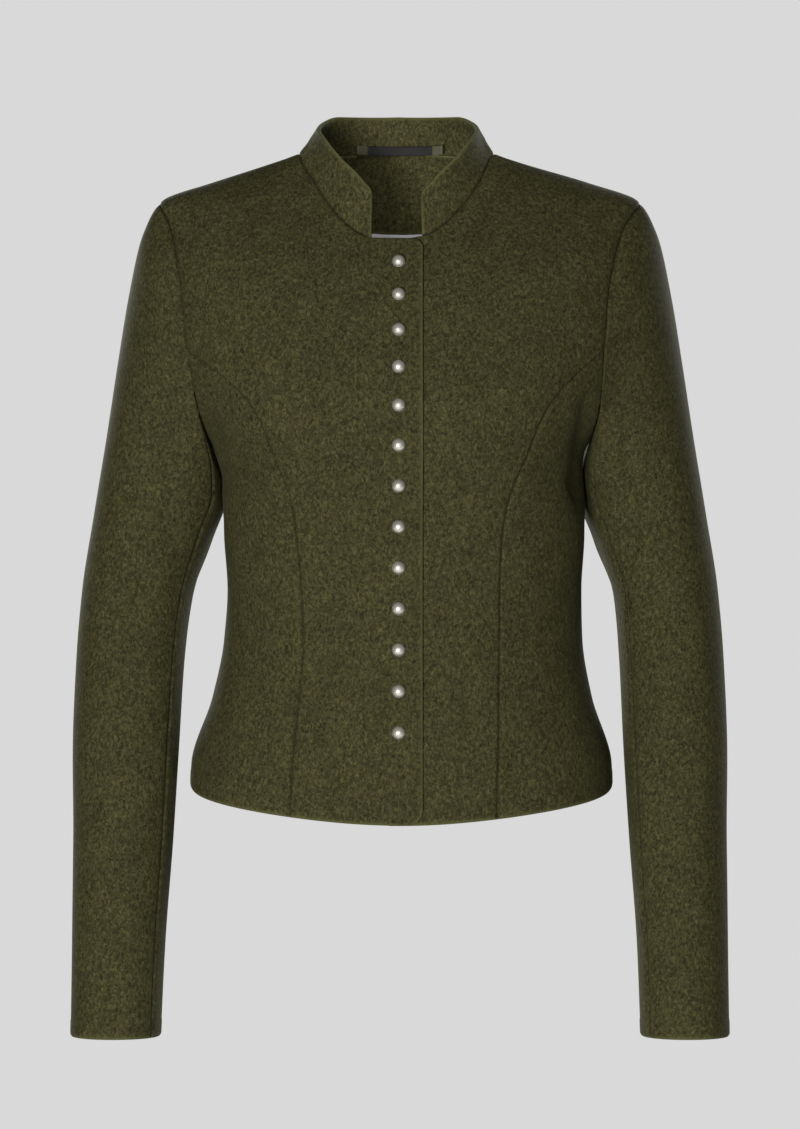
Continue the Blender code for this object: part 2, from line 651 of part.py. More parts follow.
def buttons():
    """Thirteen domed buttons in a row down the right front."""
    dome = [(0, 0, RIM_DROP + BUTTON_RISE)]
    for step in range(1, DOME_STEPS + 1):
        lean = math.pi / 2 * step / DOME_STEPS
        dome.append((BUTTON_RADIUS * math.sin(lean), 0, RIM_DROP + BUTTON_RISE * math.cos(lean)))
    dome += [(BUTTON_RADIUS * RIM_SHARE, 0, 0), (0, 0, 0)]
    profile = bpy.data.meshes.new("button")
    edges = [(step, step + 1) for step in range(len(dome) - 1)]
    profile.from_pydata(dome, edges, [])
    profile.materials.append(PEWTER)
    height = BUTTON_TOP
    for number in range(BUTTON_COUNT):
        made = bpy.data.objects.new(f"button_{number + 1:02d}", profile)
        JACKET.objects.link(made)
        turn = made.modifiers.new("turn", "SCREW")
        turn.steps = turn.render_steps = BUTTON_SIDES
        turn.use_merge_vertices = True
        turn.merge_threshold = 0.00001
        turn.use_smooth_shade = True
        angle = front_angle(BUTTON_LINE, height)
        way = torso_normal(angle, height)
        place = torso(angle, height)
        place = place + way * (lap(RIGHT, place) + BUTTON_GAP)
        made.location = place.tolist()
        made.rotation_mode = "QUATERNION"
        made.rotation_quaternion = Vector(way.tolist()).to_track_quat("Z", "Y")
        early = max(0, BUTTON_EVEN_FROM - number) / BUTTON_EVEN_FROM
        height -= BUTTON_PITCH - BUTTON_CLOSE_UP * early**2


# ---- the jacket ---------------------------------------------------------------------------

for old in list(bpy.data.objects):
    bpy.data.objects.remove(old)
JACKET = bpy.data.collections.new("loden_jacket")
bpy.context.scene.collection.children.link(JACKET)

LODEN = material("olive_loden", (0.045, 0.048, 0.020), 0.95)
SATIN = material("pale_lining", (0.62, 0.60, 0.66), 0.45)
TWILL = material("black_tape", (0.012, 0.012, 0.014), 0.80)
TAPE_END = material("grey_tape_end", (0.10, 0.10, 0.075), 0.80)
PEWTER = material("old_silver", (0.55, 0.53, 0.47), 0.35, metallic=1.0)

for side, word in ((RIGHT, "right"), (LEFT, "left")):
    front_panels(side, word)
    back_panels(side, word)
    sleeve(side, word)
collar()
backing("back_neck_facing", FACING_TURN, FACING_DEPTH, FACING_TOP, FACING_COLUMNS, FACING_CLOTH, LODEN)
lining_top = FACING_DEPTH + SEAM_GAP
lining_foot = lining_top + LINING_DEPTH
backing("back_lining", LINING_TURN, lining_foot, lining_top, LINING_COLUMNS, LINING_CLOTH, SATIN)
tape("hanger_tape", math.pi - TAPE_TURN, math.pi + TAPE_TURN, TAPE_COLUMNS, TWILL)
gap_turn = SEAM_GAP / TAPE_REACH
for word, sign in (("left", -1), ("right", 1)):
    near = math.pi + sign * (TAPE_TURN + gap_turn)
    far = near + sign * TAPE_END_TURN
    tape(f"tape_end_{word}", min(near, far), max(near, far), TAPE_END_COLUMNS, TAPE_END)
buttons()
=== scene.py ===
# %% [markdown]
# # A short loden jacket, filled out as if worn
#
# The real jacket is cut from felted wool: two fronts, two backs and four side panels join at
# long princess seams, and each sleeve is a top and an under piece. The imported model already
# holds every panel as a thin solid in its true place. This lesson keeps that frame and lays a
# finer shell over each panel, with rolled edges, seam grooves, soft folds and a felt finish.

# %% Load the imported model
import json
import math

import bpy
import numpy as np
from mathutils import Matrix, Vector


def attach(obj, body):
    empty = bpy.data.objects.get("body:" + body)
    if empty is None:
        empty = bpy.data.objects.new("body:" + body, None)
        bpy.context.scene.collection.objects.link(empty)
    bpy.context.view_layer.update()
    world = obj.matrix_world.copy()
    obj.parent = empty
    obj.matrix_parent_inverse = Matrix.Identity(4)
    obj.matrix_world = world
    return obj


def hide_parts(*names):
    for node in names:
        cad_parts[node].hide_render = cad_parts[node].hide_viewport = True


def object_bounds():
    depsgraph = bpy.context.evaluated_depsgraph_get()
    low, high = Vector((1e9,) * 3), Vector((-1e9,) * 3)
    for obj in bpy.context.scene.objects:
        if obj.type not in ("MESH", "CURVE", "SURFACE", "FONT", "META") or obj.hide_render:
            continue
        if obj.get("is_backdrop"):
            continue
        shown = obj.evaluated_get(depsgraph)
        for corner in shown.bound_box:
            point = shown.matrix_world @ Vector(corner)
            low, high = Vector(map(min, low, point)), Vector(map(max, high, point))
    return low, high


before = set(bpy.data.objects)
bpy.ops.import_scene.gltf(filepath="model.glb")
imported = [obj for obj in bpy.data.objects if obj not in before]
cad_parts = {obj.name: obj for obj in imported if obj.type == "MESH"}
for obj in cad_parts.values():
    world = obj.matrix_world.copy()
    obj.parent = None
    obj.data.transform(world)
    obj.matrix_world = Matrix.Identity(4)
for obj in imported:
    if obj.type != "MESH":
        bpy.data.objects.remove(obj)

cad_box = [list(corner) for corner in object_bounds()]
print("nodes:", len(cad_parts), "CAD box:", [[round(v, 4) for v in c] for c in cad_box])

# %% [markdown]
# ## Camera, floor and light
#
# A jacket on an unseen form is best seen as a tailor sees it on a stand: level, straight on and
# from far enough away that nothing looks wider than it is. A long lens four metres off does
# that. A wide lens close by would swell the chest and shrink the shoulders.

# %% Aim the camera
CAMERA_DISTANCE = 4.0
CAMERA_HEIGHT = -0.325
FIELD_HEIGHT = 0.9032  # how much of the jacket's own plane the tall side of the frame takes in

camera_data = bpy.data.cameras.new("long_lens")
camera_data.sensor_width = 36
camera_data.lens = camera_data.sensor_width * CAMERA_DISTANCE / FIELD_HEIGHT
camera_data.clip_end = 60
camera = bpy.data.objects.new("camera", camera_data)
camera.location = (0, -CAMERA_DISTANCE, CAMERA_HEIGHT)
camera.rotation_euler = (math.radians(90), 0, 0)
bpy.context.scene.collection.objects.link(camera)
bpy.context.scene.camera = camera
print("lens:", round(camera_data.lens, 1), "mm")

# %% [markdown]
# Colours are written as the sRGB hex values that a colour picker gives. Blender's shaders work
# in linear light, so one function turns them over: each channel c becomes c / 12.92 when it is
# dark, and ((c + 0.055) / 1.055) to the power 2.4 otherwise. A second small function adds a
# node with its settings and links, so that each material below reads as a plain list.

# %% Colour and node helpers
def linear(code):
    """The linear red, green, blue and alpha of an sRGB hex colour."""
    shares = [int(code[i : i + 2], 16) / 255 for i in (1, 3, 5)]
    return [c / 12.92 if c <= 0.04045 else ((c + 0.055) / 1.055) ** 2.4 for c in shares] + [1.0]


def add_node(tree, kind, settings=None, **inputs):
    """Adds one node. Settings are its properties; inputs are values or the sockets to link."""
    node = tree.nodes.new(kind)
    for name, value in (settings or {}).items():
        setattr(node, name, value)
    for name, value in inputs.items():
        key = int(name[1:]) if name[0] == "_" and name[1:].isdigit() else name.replace("_", " ")
        socket = node.inputs[key]
        if isinstance(value, bpy.types.NodeSocket):
            tree.links.new(value, socket)
        else:
            socket.default_value = value
    return node


print("loden green is", [round(c, 4) for c in linear("#41412a")[:3]])

# %% [markdown]
# The floor is a wide pale disc, well below the cuffs because the jacket hangs in the air as if
# worn. It could be lit by the lamps alone, but they are kept low and narrow for the jacket's
# sake, so it also glows a little by itself. Its own light would reach up under the jacket and
# flatten the shading there, so the cloth is kept from seeing it.

# %% Build the floor
FLOOR_RADIUS = 2.6
FLOOR_HEIGHT = -1.15
FLOOR_GLOW = 0.40
PAPER_WHITE = linear("#e6e6e6")

paper = bpy.data.materials.new("matt studio paper")
paper.use_nodes = True
paper_shader = paper.node_tree.nodes["Principled BSDF"]
paper_shader.inputs["Base Color"].default_value = PAPER_WHITE
paper_shader.inputs["Roughness"].default_value = 0.9
paper_shader.inputs["Emission Color"].default_value = PAPER_WHITE
paper_shader.inputs["Emission Strength"].default_value = FLOOR_GLOW
turns = np.linspace(0, math.tau, 96, endpoint=False)
rim = np.stack([FLOOR_RADIUS * np.cos(turns), FLOOR_RADIUS * np.sin(turns), 0 * turns + FLOOR_HEIGHT], 1)
floor_mesh = bpy.data.meshes.new("studio_floor")
floor_mesh.from_pydata(rim.tolist(), [], [list(range(len(turns)))])
floor_mesh.materials.append(paper)
floor = bpy.data.objects.new("studio_floor", floor_mesh)
bpy.context.scene.collection.objects.link(floor)
floor.visible_diffuse = False  # it is seen, but throws no light up under the jacket
floor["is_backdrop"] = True
print("floor:", FLOOR_RADIUS * 2, "m across")

# %% [markdown]
# Wool is shown best by one main lamp in front, because the chest and waist turn to it while
# the sides fall away into shade, and that is what gives the waist its shape. The main lamp
# stands low and a little to the left, a weak one to the right opens the deepest shade, and two
# behind light the back for anyone who walks round. The lining lies deep in the neck where none
# of them reaches, so a narrow lamp looks in from above. The background is as pale as studio
# paper, while the light that comes from it is kept low so that the sides stay shaded.

# %% Light the studio
LAMPS_AIM = (0, 0, -0.32)  # the middle of the jacket
THROAT_PLACE, THROAT_TILT, THROAT_TURN = (0.03, -3.0, 0.80), math.radians(75.0), math.radians(0.6)
THROAT_POWER, THROAT_CONE, THROAT_SIZE = 240, math.radians(2.3), 0.06
AIR_GREY = linear("#d9d9d9")
SHADE_LIGHT = 0.05  # what the pale walls of the room give back into the shade


def soft_lamp(name, place, size, power):
    """A square area lamp that looks from its place to the middle of the jacket."""
    data = bpy.data.lights.new(name, "AREA")
    data.size = size
    data.energy = power
    lamp = bpy.data.objects.new(name, data)
    way = np.array(LAMPS_AIM) - np.array(place)
    lamp.location = place
    tilt = math.acos(-way[2] / np.linalg.norm(way))
    lamp.rotation_euler = (tilt, 0, math.atan2(way[1], way[0]) - math.pi / 2)
    bpy.context.scene.collection.objects.link(lamp)


soft_lamp("main_lamp", (-0.90, -3.6, -0.65), 1.0, 114)
soft_lamp("weak_lamp", (1.3, -3.7, -0.1), 1.8, 10)
soft_lamp("rear_lamp_left", (1.9, 2.7, 1.2), 1.6, 100)
soft_lamp("rear_lamp_right", (-1.6, 3.0, 0.9), 1.6, 95)

throat = bpy.data.lights.new("neck_lamp", "SPOT")
throat.energy, throat.spot_size, throat.spot_blend = THROAT_POWER, THROAT_CONE, 1.0
throat.shadow_soft_size = THROAT_SIZE
throat_lamp = bpy.data.objects.new("neck_lamp", throat)
throat_lamp.location = THROAT_PLACE
throat_lamp.rotation_euler = (THROAT_TILT, 0, THROAT_TURN)
bpy.context.scene.collection.objects.link(throat_lamp)

# %% [markdown]
# The air of the studio has two strengths: the one that the camera sees and the one that falls
# on the cloth. A Light Path node tells the two kinds of ray apart.

# %% Fill the air
world = bpy.data.worlds.new("studio_air")
world.use_nodes = True
air = world.node_tree
air.nodes.clear()
seen = add_node(air, "ShaderNodeBackground", Color=AIR_GREY, Strength=1.0)
shed = add_node(air, "ShaderNodeBackground", Color=AIR_GREY, Strength=SHADE_LIGHT)
rays = add_node(air, "ShaderNodeLightPath")
both = add_node(
    air, "ShaderNodeMixShader", _0=rays.outputs["Is Camera Ray"], _1=shed.outputs[0], _2=seen.outputs[0]
)
add_node(air, "ShaderNodeOutputWorld", Surface=both.outputs[0])
bpy.context.scene.world = world
bpy.context.scene.view_settings.view_transform = "Standard"
print("light from the air:", SHADE_LIGHT, "of what the camera sees")

# %% [markdown]
# ## The form under the cloth
#
# A tailor's dummy gives the cloth its shape, so the dummy comes first and no panel is shaped
# on its own. The torso is a stack of rings, one for each height. A plain ellipse looks like a
# barrel, so each ring is a squared ellipse, the front and the back halves have their own
# depths, and a soft round fullness stands for the bust. Only some heights are written down.
# A monotone cubic fills in the rest, because an ordinary spline would bulge between them.

# %% Tables, and a smooth curve through their rows
RIGHT, LEFT = -1, 1  # the wearer's own sides


def table(columns, *rows):
    """Rows of numbers as one array for each named column."""
    return dict(zip(columns.split(), np.array(rows, float).T))


def smooth(at, known, values):
    """A monotone cubic through the rows: between two rows it is the cubic with their values
    and slopes, and a row's slope is the harmonic mean of the steps on its two sides."""
    steps = np.diff(known)
    slopes = np.diff(values) / steps
    product, total = slopes[:-1] * slopes[1:], slopes[:-1] + slopes[1:]
    inner = np.where(product > 0, 2 * product / np.where(product > 0, total, 1), 0)
    bends = np.concatenate([slopes[:1], inner, slopes[-1:]])
    at = np.clip(at, known[0], known[-1])
    row = np.clip(np.searchsorted(known, at, "right") - 1, 0, len(steps) - 1)
    t = (at - known[row]) / steps[row]
    near = values[row] * (1 + 2 * t) * (1 - t) ** 2 + values[row + 1] * t**2 * (3 - 2 * t)
    return near + steps[row] * (bends[row] * t * (1 - t) ** 2 - bends[row + 1] * t**2 * (1 - t))


print("halfway up a soft rise:", smooth(0.5, np.array([0, 1, 2]), np.array([0, 1, 1])))

# %% [markdown]
# The tables are the jacket's own sizes in metres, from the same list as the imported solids, so
# that what is laid over them fits. A row is a ring that a tailor could measure: the hips at
# the hem, the waist, the bust, the shoulders, the foot of the neck. The sleeves bend a little
# forwards at the elbow, as an arm does at rest.

# %% Tables of the torso and the sleeves
# The torso's rings, from below the hem to the neck. Each has its half width, how far
# its middle stands to the left, its depth before and behind the shoulder line, and
# how square its front and back are (2 is an ellipse).
TORSO = table(
    "height  half    middle  front   back    front_sq back_sq",
    (-0.5400, 0.1690, 0.0010, 0.1190, 0.1160, 2.30, 2.20),
    (-0.4850, 0.1678, 0.0012, 0.1140, 0.1110, 2.30, 2.20),
    (-0.4300, 0.1512, 0.0018, 0.1070, 0.0990, 2.25, 2.15),
    (-0.3850, 0.1430, 0.0026, 0.1015, 0.0880, 2.20, 2.10),
    (-0.3450, 0.1412, 0.0036, 0.0990, 0.0830, 2.20, 2.10),
    (-0.3000, 0.1438, 0.0034, 0.1030, 0.0860, 2.20, 2.15),
    (-0.2580, 0.1440, 0.0020, 0.1120, 0.0940, 2.25, 2.25),
    (-0.2360, 0.1474, 0.0000, 0.1150, 0.0980, 2.30, 2.30),
    (-0.2200, 0.1545, 0.0000, 0.1160, 0.1000, 2.40, 2.35),
    (-0.2000, 0.1660, 0.0000, 0.1150, 0.1020, 2.50, 2.40),
    (-0.1700, 0.1790, 0.0000, 0.1100, 0.1030, 2.60, 2.45),
    (-0.1300, 0.1885, 0.0000, 0.0980, 0.1010, 2.70, 2.45),
    (-0.0900, 0.1925, 0.0000, 0.0800, 0.0950, 2.70, 2.35),
    (-0.0600, 0.1945, 0.0000, 0.0610, 0.0880, 2.60, 2.20),
    (-0.0400, 0.1950, 0.0000, 0.0460, 0.0800, 2.50, 2.10),
    (-0.0340, 0.1896, 0.0000, 0.0415, 0.0775, 2.45, 2.05),
    (-0.0200, 0.1500, 0.0000, 0.0305, 0.0710, 2.40, 2.00),
    (-0.0040, 0.0990, -0.0024, 0.0170, 0.0650, 2.30, 2.00),
    (0.0040, 0.0772, -0.0028, 0.0080, 0.0620, 2.20, 2.00),
    (0.0100, 0.0645, -0.0024, 0.0020, 0.0590, 2.20, 2.00),
)

# The sleeves' rings, from the armhole to the cuff: each ring's outer and inner ends as
# seen from the front, its middle's place front to back, and its half depth.
SLEEVE = table(
    "outer_x outer_z  inner_right inner_left inner_z  middle_y half_depth square",
    (0.1916, -0.0360, 0.1545, 0.1545, -0.2200, 0.0040, 0.0620, 2.05),
    (0.2062, -0.0630, 0.1512, 0.1520, -0.2325, 0.0080, 0.0640, 2.10),
    (0.2176, -0.1100, 0.1465, 0.1490, -0.2440, 0.0160, 0.0640, 2.10),
    (0.2268, -0.1630, 0.1425, 0.1470, -0.2570, 0.0240, 0.0620, 2.15),
    (0.2366, -0.2250, 0.1410, 0.1475, -0.2750, 0.0290, 0.0590, 2.15),
    (0.2463, -0.2850, 0.1525, 0.1580, -0.3050, 0.0270, 0.0560, 2.15),
    (0.2552, -0.3450, 0.1668, 0.1720, -0.3520, 0.0190, 0.0530, 2.15),
    (0.2592, -0.4000, 0.1728, 0.1758, -0.4020, 0.0080, 0.0510, 2.15),
    (0.2612, -0.4700, 0.1765, 0.1785, -0.4700, -0.0060, 0.0490, 2.15),
    (0.2598, -0.5450, 0.1805, 0.1825, -0.5440, -0.0220, 0.0465, 2.15),
    (0.2598, -0.6250, 0.1860, 0.1878, -0.6240, -0.0370, 0.0440, 2.15),
    (0.2602, -0.6970, 0.1892, 0.1903, -0.6970, -0.0470, 0.0425, 2.15),
)

print("torso rings:", len(TORSO["height"]), "sleeve rings:", len(SLEEVE["square"]))

# %% [markdown]
# A point of the torso needs only two numbers, how far round it is and how high. That makes a
# panel a patch of angles and heights, which always lies on the form, and the way out of the
# cloth is the cross product of the two directions along it.

# %% The torso as a function of angle and height
BUST_ANGLE = math.radians(37)
BUST_HEIGHT = -0.2250
BUST_FULLNESS = 0.0085
BUST_SPREAD = math.radians(24)
BUST_DEPTH = 0.0520


def unit(vectors):
    """Each vector divided by its own length."""
    return vectors / np.maximum(np.linalg.norm(vectors, axis=-1, keepdims=True), 1e-12)


def ring(height):
    """The torso ring's sizes at each height."""
    return {name: smooth(height, TORSO["height"], TORSO[name]) for name in TORSO if name != "height"}


def torso(angle, height):
    """Points of the form, with angle 0 at the front, a quarter turn at the left side and a
    half turn at the back. A ring reaches ((|sin| / half)^n + (|cos| / depth)^n)^(-1/n) from
    its middle, and a Gaussian in angle and height adds the bust."""
    angle, height = np.broadcast_arrays(np.asarray(angle, float), np.asarray(height, float))
    size = ring(height)
    before = np.cos(angle) > 0
    depth = np.where(before, size["front"], size["back"])
    square = np.where(before, size["front_sq"], size["back_sq"])
    across = (np.abs(np.sin(angle)) / size["half"]) ** square
    reach = (across + (np.abs(np.cos(angle)) / depth) ** square) ** (-1 / square)
    turn = np.abs((angle + math.pi) % math.tau - math.pi)
    full = ((turn - BUST_ANGLE) / BUST_SPREAD) ** 2 + ((height - BUST_HEIGHT) / BUST_DEPTH) ** 2
    reach = reach + BUST_FULLNESS * np.exp(-full)
    return np.stack([size["middle"] + reach * np.sin(angle), -reach * np.cos(angle), height], -1)


def torso_way(angle, height):
    """The outward direction: the cross product of a small step round and a small step up."""
    round_it = torso(angle + 2e-3, height) - torso(angle - 2e-3, height)
    up_it = torso(angle, height + 4e-4) - torso(angle, height - 4e-4)
    return unit(np.cross(round_it, up_it))


chest = torso(np.linspace(0, math.tau, 400), -0.18)
print("round the chest:", round(float(np.linalg.norm(np.diff(chest, axis=0), axis=1).sum()), 3), "m")

# %% [markdown]
# The armhole is a line on the torso, not a hole cut by a tube, because a tailor draws it on
# the paper too. It is scooped lower and deeper at the front, where the arm needs room.

# %% The armhole
ARM_TOP = -0.0360
ARM_BOTTOM = -0.2200
ARM_FRONT_RIGHT = 0.0565  # how far the armhole reaches before the shoulder line
ARM_FRONT_LEFT = 0.0640
ARM_SCOOP = 0.30  # it is cut in by this share more at its lower front
ARM_BACK = 0.0660


def armhole(side, turn):
    """Angle and height of the armhole. The turn is 0 at the shoulder, a quarter at the front
    and a half under the arm; its height follows the cosine and its depth the sine."""
    middle = (ARM_TOP + ARM_BOTTOM) / 2
    height = middle + (ARM_TOP - ARM_BOTTOM) / 2 * np.cos(turn)
    front = (ARM_FRONT_RIGHT if side == RIGHT else ARM_FRONT_LEFT) * (1 - ARM_SCOOP * np.cos(turn))
    y = -np.sin(turn) * np.where(np.sin(turn) > 0, front, ARM_BACK)
    size = ring(height)
    depth = np.where(y < 0, size["front"], size["back"])
    square = np.where(y < 0, size["front_sq"], size["back_sq"])
    x = size["half"] * (1 - (np.abs(y) / depth) ** square) ** (1 / square)
    return side * np.arctan2(x, -y), height


hole = torso(*armhole(LEFT, np.linspace(0, math.tau, 200)))
print("round an armhole:", round(float(np.linalg.norm(np.diff(hole, axis=0), axis=1).sum()), 3), "m")

# %% [markdown]
# A set-in sleeve is a tube that grows out of the armhole. Each sleeve ring is a squared
# ellipse in its own tilted plane, and the first rings are drawn onto the armhole, by a share
# that fades along the sleeve, so that sleeve and torso share one seam line. A Boolean of a
# tube and a body would give a crease of its own there, and no grid to put the seams on.

# %% The sleeve
ARM_FADE = 0.23  # the share of the sleeve's length that bends to meet the armhole


def sleeve_ring(side, turn, along):
    """The sleeve's own rings, as if on the left: middle + half its width times cos^(2/n)
    outwards, and its half depth times sin^(2/n) forwards."""
    rows = np.linspace(0, 1, len(SLEEVE["square"]))
    at = {name: smooth(along, rows, SLEEVE[name]) for name in SLEEVE}
    inner_x = at["inner_right"] if side == RIGHT else at["inner_left"]
    outer = np.stack([at["outer_x"], at["middle_y"], at["outer_z"]], -1)
    inner = np.stack([inner_x, at["middle_y"], at["inner_z"]], -1)
    power = 2 / at["square"]
    out_in = np.sign(np.cos(turn)) * np.abs(np.cos(turn)) ** power
    front_back = np.sign(np.sin(turn)) * np.abs(np.sin(turn)) ** power
    points = (outer + inner) / 2 + (outer - inner) / 2 * out_in[..., None]
    points[..., 1] -= at["half_depth"] * front_back
    return points


def sleeve_tube(side, turn, along):
    """Points of a sleeve, from the armhole (along 0) to the cuff (along 1): its own ring plus
    what the armhole differs from the first ring, times a share that fades as a square."""
    turn, along = np.broadcast_arrays(np.asarray(turn, float), np.asarray(along, float))
    start = torso(*armhole(side, turn)) * (side, 1, 1)
    fade = np.clip(1 - along / ARM_FADE, 0, 1) ** 2
    points = sleeve_ring(side, turn, along)
    points = points + (start - sleeve_ring(side, turn, 0 * along)) * fade[..., None]
    return points * (side, 1, 1)


def sleeve_way(side, turn, along):
    """The sleeve's outward direction, from small steps round it and down it."""
    turn, along = np.broadcast_arrays(np.asarray(turn, float), np.asarray(along, float))
    low, high = np.clip(along - 2e-3, 0, 1), np.clip(along + 2e-3, 0, 1)
    round_it = sleeve_tube(side, turn + 4e-3, along) - sleeve_tube(side, turn - 4e-3, along)
    return unit(np.cross(round_it, sleeve_tube(side, turn, high) - sleeve_tube(side, turn, low))) * side


cuff = sleeve_tube(LEFT, np.linspace(0, math.tau, 200), 1.0)
print("round a cuff:", round(float(np.linalg.norm(np.diff(cuff, axis=0), axis=1).sum()), 3), "m")

# %% [markdown]
# ## Seams
#
# On the paper pattern a seam is a line that two pieces share. Here too each seam is written
# once, as a row of angles and heights on the form, and both its panels are filled in from
# it, so they meet without a fitting. The princess seams run from the hem over the fullest
# part of the bust and turn out to the armhole: they are what shapes the waist.

# %% Lines of the hem and the neck
HEM_FRONT = -0.5280
HEM_SIDE = -0.5000
HEM_BACK = -0.5120
HEM_BEND = 0.93  # how squarely the hem turns down at the front
NECK_SIDE = 0.0040
NECK_BACK = 0.0090
NECK_FRONT_RIGHT = -0.0740
NECK_FRONT_LEFT = -0.0680
NECK_BEND = 1.25  # how squarely the neckline turns down at the front


def hem(angle):
    """The hem's height: it drops from the sides to the middle as a power of the cosine."""
    level = np.cos(angle)
    drop = np.where(level > 0, HEM_FRONT - HEM_SIDE, HEM_BACK - HEM_SIDE)
    return HEM_SIDE + drop * np.abs(level) ** HEM_BEND


def neck(side, angle):
    """The neckline's height, which drops in the same way."""
    level = np.cos(angle)
    front = NECK_FRONT_RIGHT if side == RIGHT else NECK_FRONT_LEFT
    rise = np.where(level > 0, front - NECK_SIDE, NECK_BACK - NECK_SIDE)
    return NECK_SIDE + rise * np.abs(level) ** NECK_BEND


def front_angle(x, height):
    """The angle of a front point that stands at x."""
    size = ring(height)
    return np.arcsin((x - size["middle"]) / size["front"])


def seam_angle(side, across, height, behind):
    """The angle of the ring's point at x = side * across, on the front or the back."""
    size = ring(height)
    depth = size["back"] if behind else size["front"]
    square = size["back_sq"] if behind else size["front_sq"]
    across = across - side * size["middle"]
    deep = depth * (1 - np.clip(across / size["half"], 0, 1) ** square) ** (1 / square)
    return side * np.arctan2(across, -deep if behind else deep)


print("neck, front and back:", round(float(neck(RIGHT, 0.0)), 4), round(float(neck(RIGHT, math.pi)), 4))

# %% [markdown]
# The front edges are what the eye finds first. The right front is closed over the left one by
# a few centimetres, with a rounded corner at the hem and a smaller one at the top, and its
# upper edge runs on to where the collar starts. The left front ends unseen below it. A
# quarter circle drawn into the line makes each corner, and the solids' own steps are divided
# into finer ones, so that the shell is smoother than the solid but ends in the same place.

# %% Lines of the front edges
FRONT_EDGE = 0.0176  # the right front reaches this far past the middle
UNDER_EDGE = -0.0190  # the left front reaches this far under it
EDGE_CORNER = 0.0120  # rounded lower corner of the right front
LAP_TOP = -0.0690  # the right front's free top edge
UNDER_TOP = -0.0710  # and the left front's, hidden below it
COLLAR_END_RIGHT = -0.0220
COLLAR_END_LEFT = 0.0170
COLLAR_CORNER = 0.0075
CORNER_STEPS = 2
SKIRT_STEPS = 10
CHEST_STEPS = 3
NECK_STEPS = 6
FINE = 24  # steps of a fine line for each step of the solid's own

COLLAR_END_TURN = 0.25  # radians from the middle, near the collar's ends
COLLAR_END = {
    RIGHT: float(front_angle(COLLAR_END_RIGHT, neck(RIGHT, COLLAR_END_TURN))),
    LEFT: float(front_angle(COLLAR_END_LEFT, neck(LEFT, COLLAR_END_TURN))),
}


def front_edge(side):
    """The front's free edge: a quarter round at the hem, straight up, a quarter round at the
    top, and along the top edge to where the collar starts."""
    edge, top = (FRONT_EDGE, LAP_TOP) if side == RIGHT else (UNDER_EDGE, UNDER_TOP)
    low = np.linspace(0, math.pi / 2, CORNER_STEPS * FINE + 1)
    high = np.linspace(0, math.pi / 2, FINE + 1)[1:]
    corner = HEM_FRONT + EDGE_CORNER * (1 - np.cos(low))
    rise = np.linspace(corner[-1], top - COLLAR_CORNER, (SKIRT_STEPS + CHEST_STEPS) * FINE + 1)[1:]
    x = np.concatenate(
        [
            edge + side * EDGE_CORNER * (1 - np.sin(low)),
            np.full(len(rise), edge),
            edge + side * COLLAR_CORNER * (1 - np.cos(high)),
        ]
    )
    height = np.concatenate([corner, rise, top - COLLAR_CORNER * (1 - np.sin(high))])
    return np.stack([front_angle(x, height), height], 1)


def neck_line(side, start):
    """From the collar's end, or the middle of the back, to the shoulder."""
    angle = np.linspace(start, side * math.pi / 2, NECK_STEPS * FINE + 1)
    return np.stack([angle, neck(side, angle)], 1)


print("front edge points:", len(front_edge(RIGHT)), "collar ends:", COLLAR_END)

# %% [markdown]
# A princess seam can't be one curve in a formula, because it follows the tailor's eye: close
# together at the waist, wider at the hem, and out over the bust to the armhole. So it is a
# short table of distances from the middle, and the monotone cubic draws the line through
# them. Seen from the front the two sides differ a little, as on a real jacket. The side seam
# is hidden under the arm and drops straight down.

# %% Lines of the princess and side seams
FRONT_SEAM_TURN = math.radians(108)  # where the front princess seam leaves the armhole
BACK_SEAM_TURN = math.radians(100)  # and the back one
SIDE_STEPS = 4
FRONT_COLUMNS = 7
BACK_COLUMNS = 6

# The princess seams as seen from the front and from behind, from the hem up to where
# they turn out to the armhole: their distance from the middle on each side.
FRONT_SEAM = table(
    "height   right   left",
    (-0.5160, 0.0864, 0.0757),
    (-0.4700, 0.0833, 0.0770),
    (-0.4300, 0.0795, 0.0776),
    (-0.3900, 0.0764, 0.0781),
    (-0.3400, 0.0781, 0.0788),
    (-0.3000, 0.0812, 0.0802),
    (-0.2700, 0.0846, 0.0846),
    (-0.2400, 0.0950, 0.0950),
    (-0.2200, 0.1015, 0.1025),
    (-0.1960, 0.1170, 0.1172),
)
BACK_SEAM = table(
    "height   right   left",
    (-0.5080, 0.0860, 0.0860),
    (-0.4300, 0.0780, 0.0780),
    (-0.3450, 0.0700, 0.0700),
    (-0.2700, 0.0800, 0.0800),
    (-0.2100, 0.0990, 0.0990),
    (-0.1700, 0.1220, 0.1220),
)


def line_between(start, end, steps):
    """Evenly spaced points of a straight seam."""
    share = np.linspace(0, 1, steps * FINE + 1)[:, None]
    return np.asarray(start, float) * (1 - share) + np.asarray(end, float) * share


def arm_line(side, start, end, steps):
    """A stretch of the armhole between two of its turns."""
    return np.stack(armhole(side, np.linspace(start, end, steps * FINE + 1)), 1)


def hem_line(start, end, steps):
    """A stretch of the hem between two angles."""
    angle = np.linspace(start, end, steps * FINE + 1)
    return np.stack([angle, hem(angle)], 1)


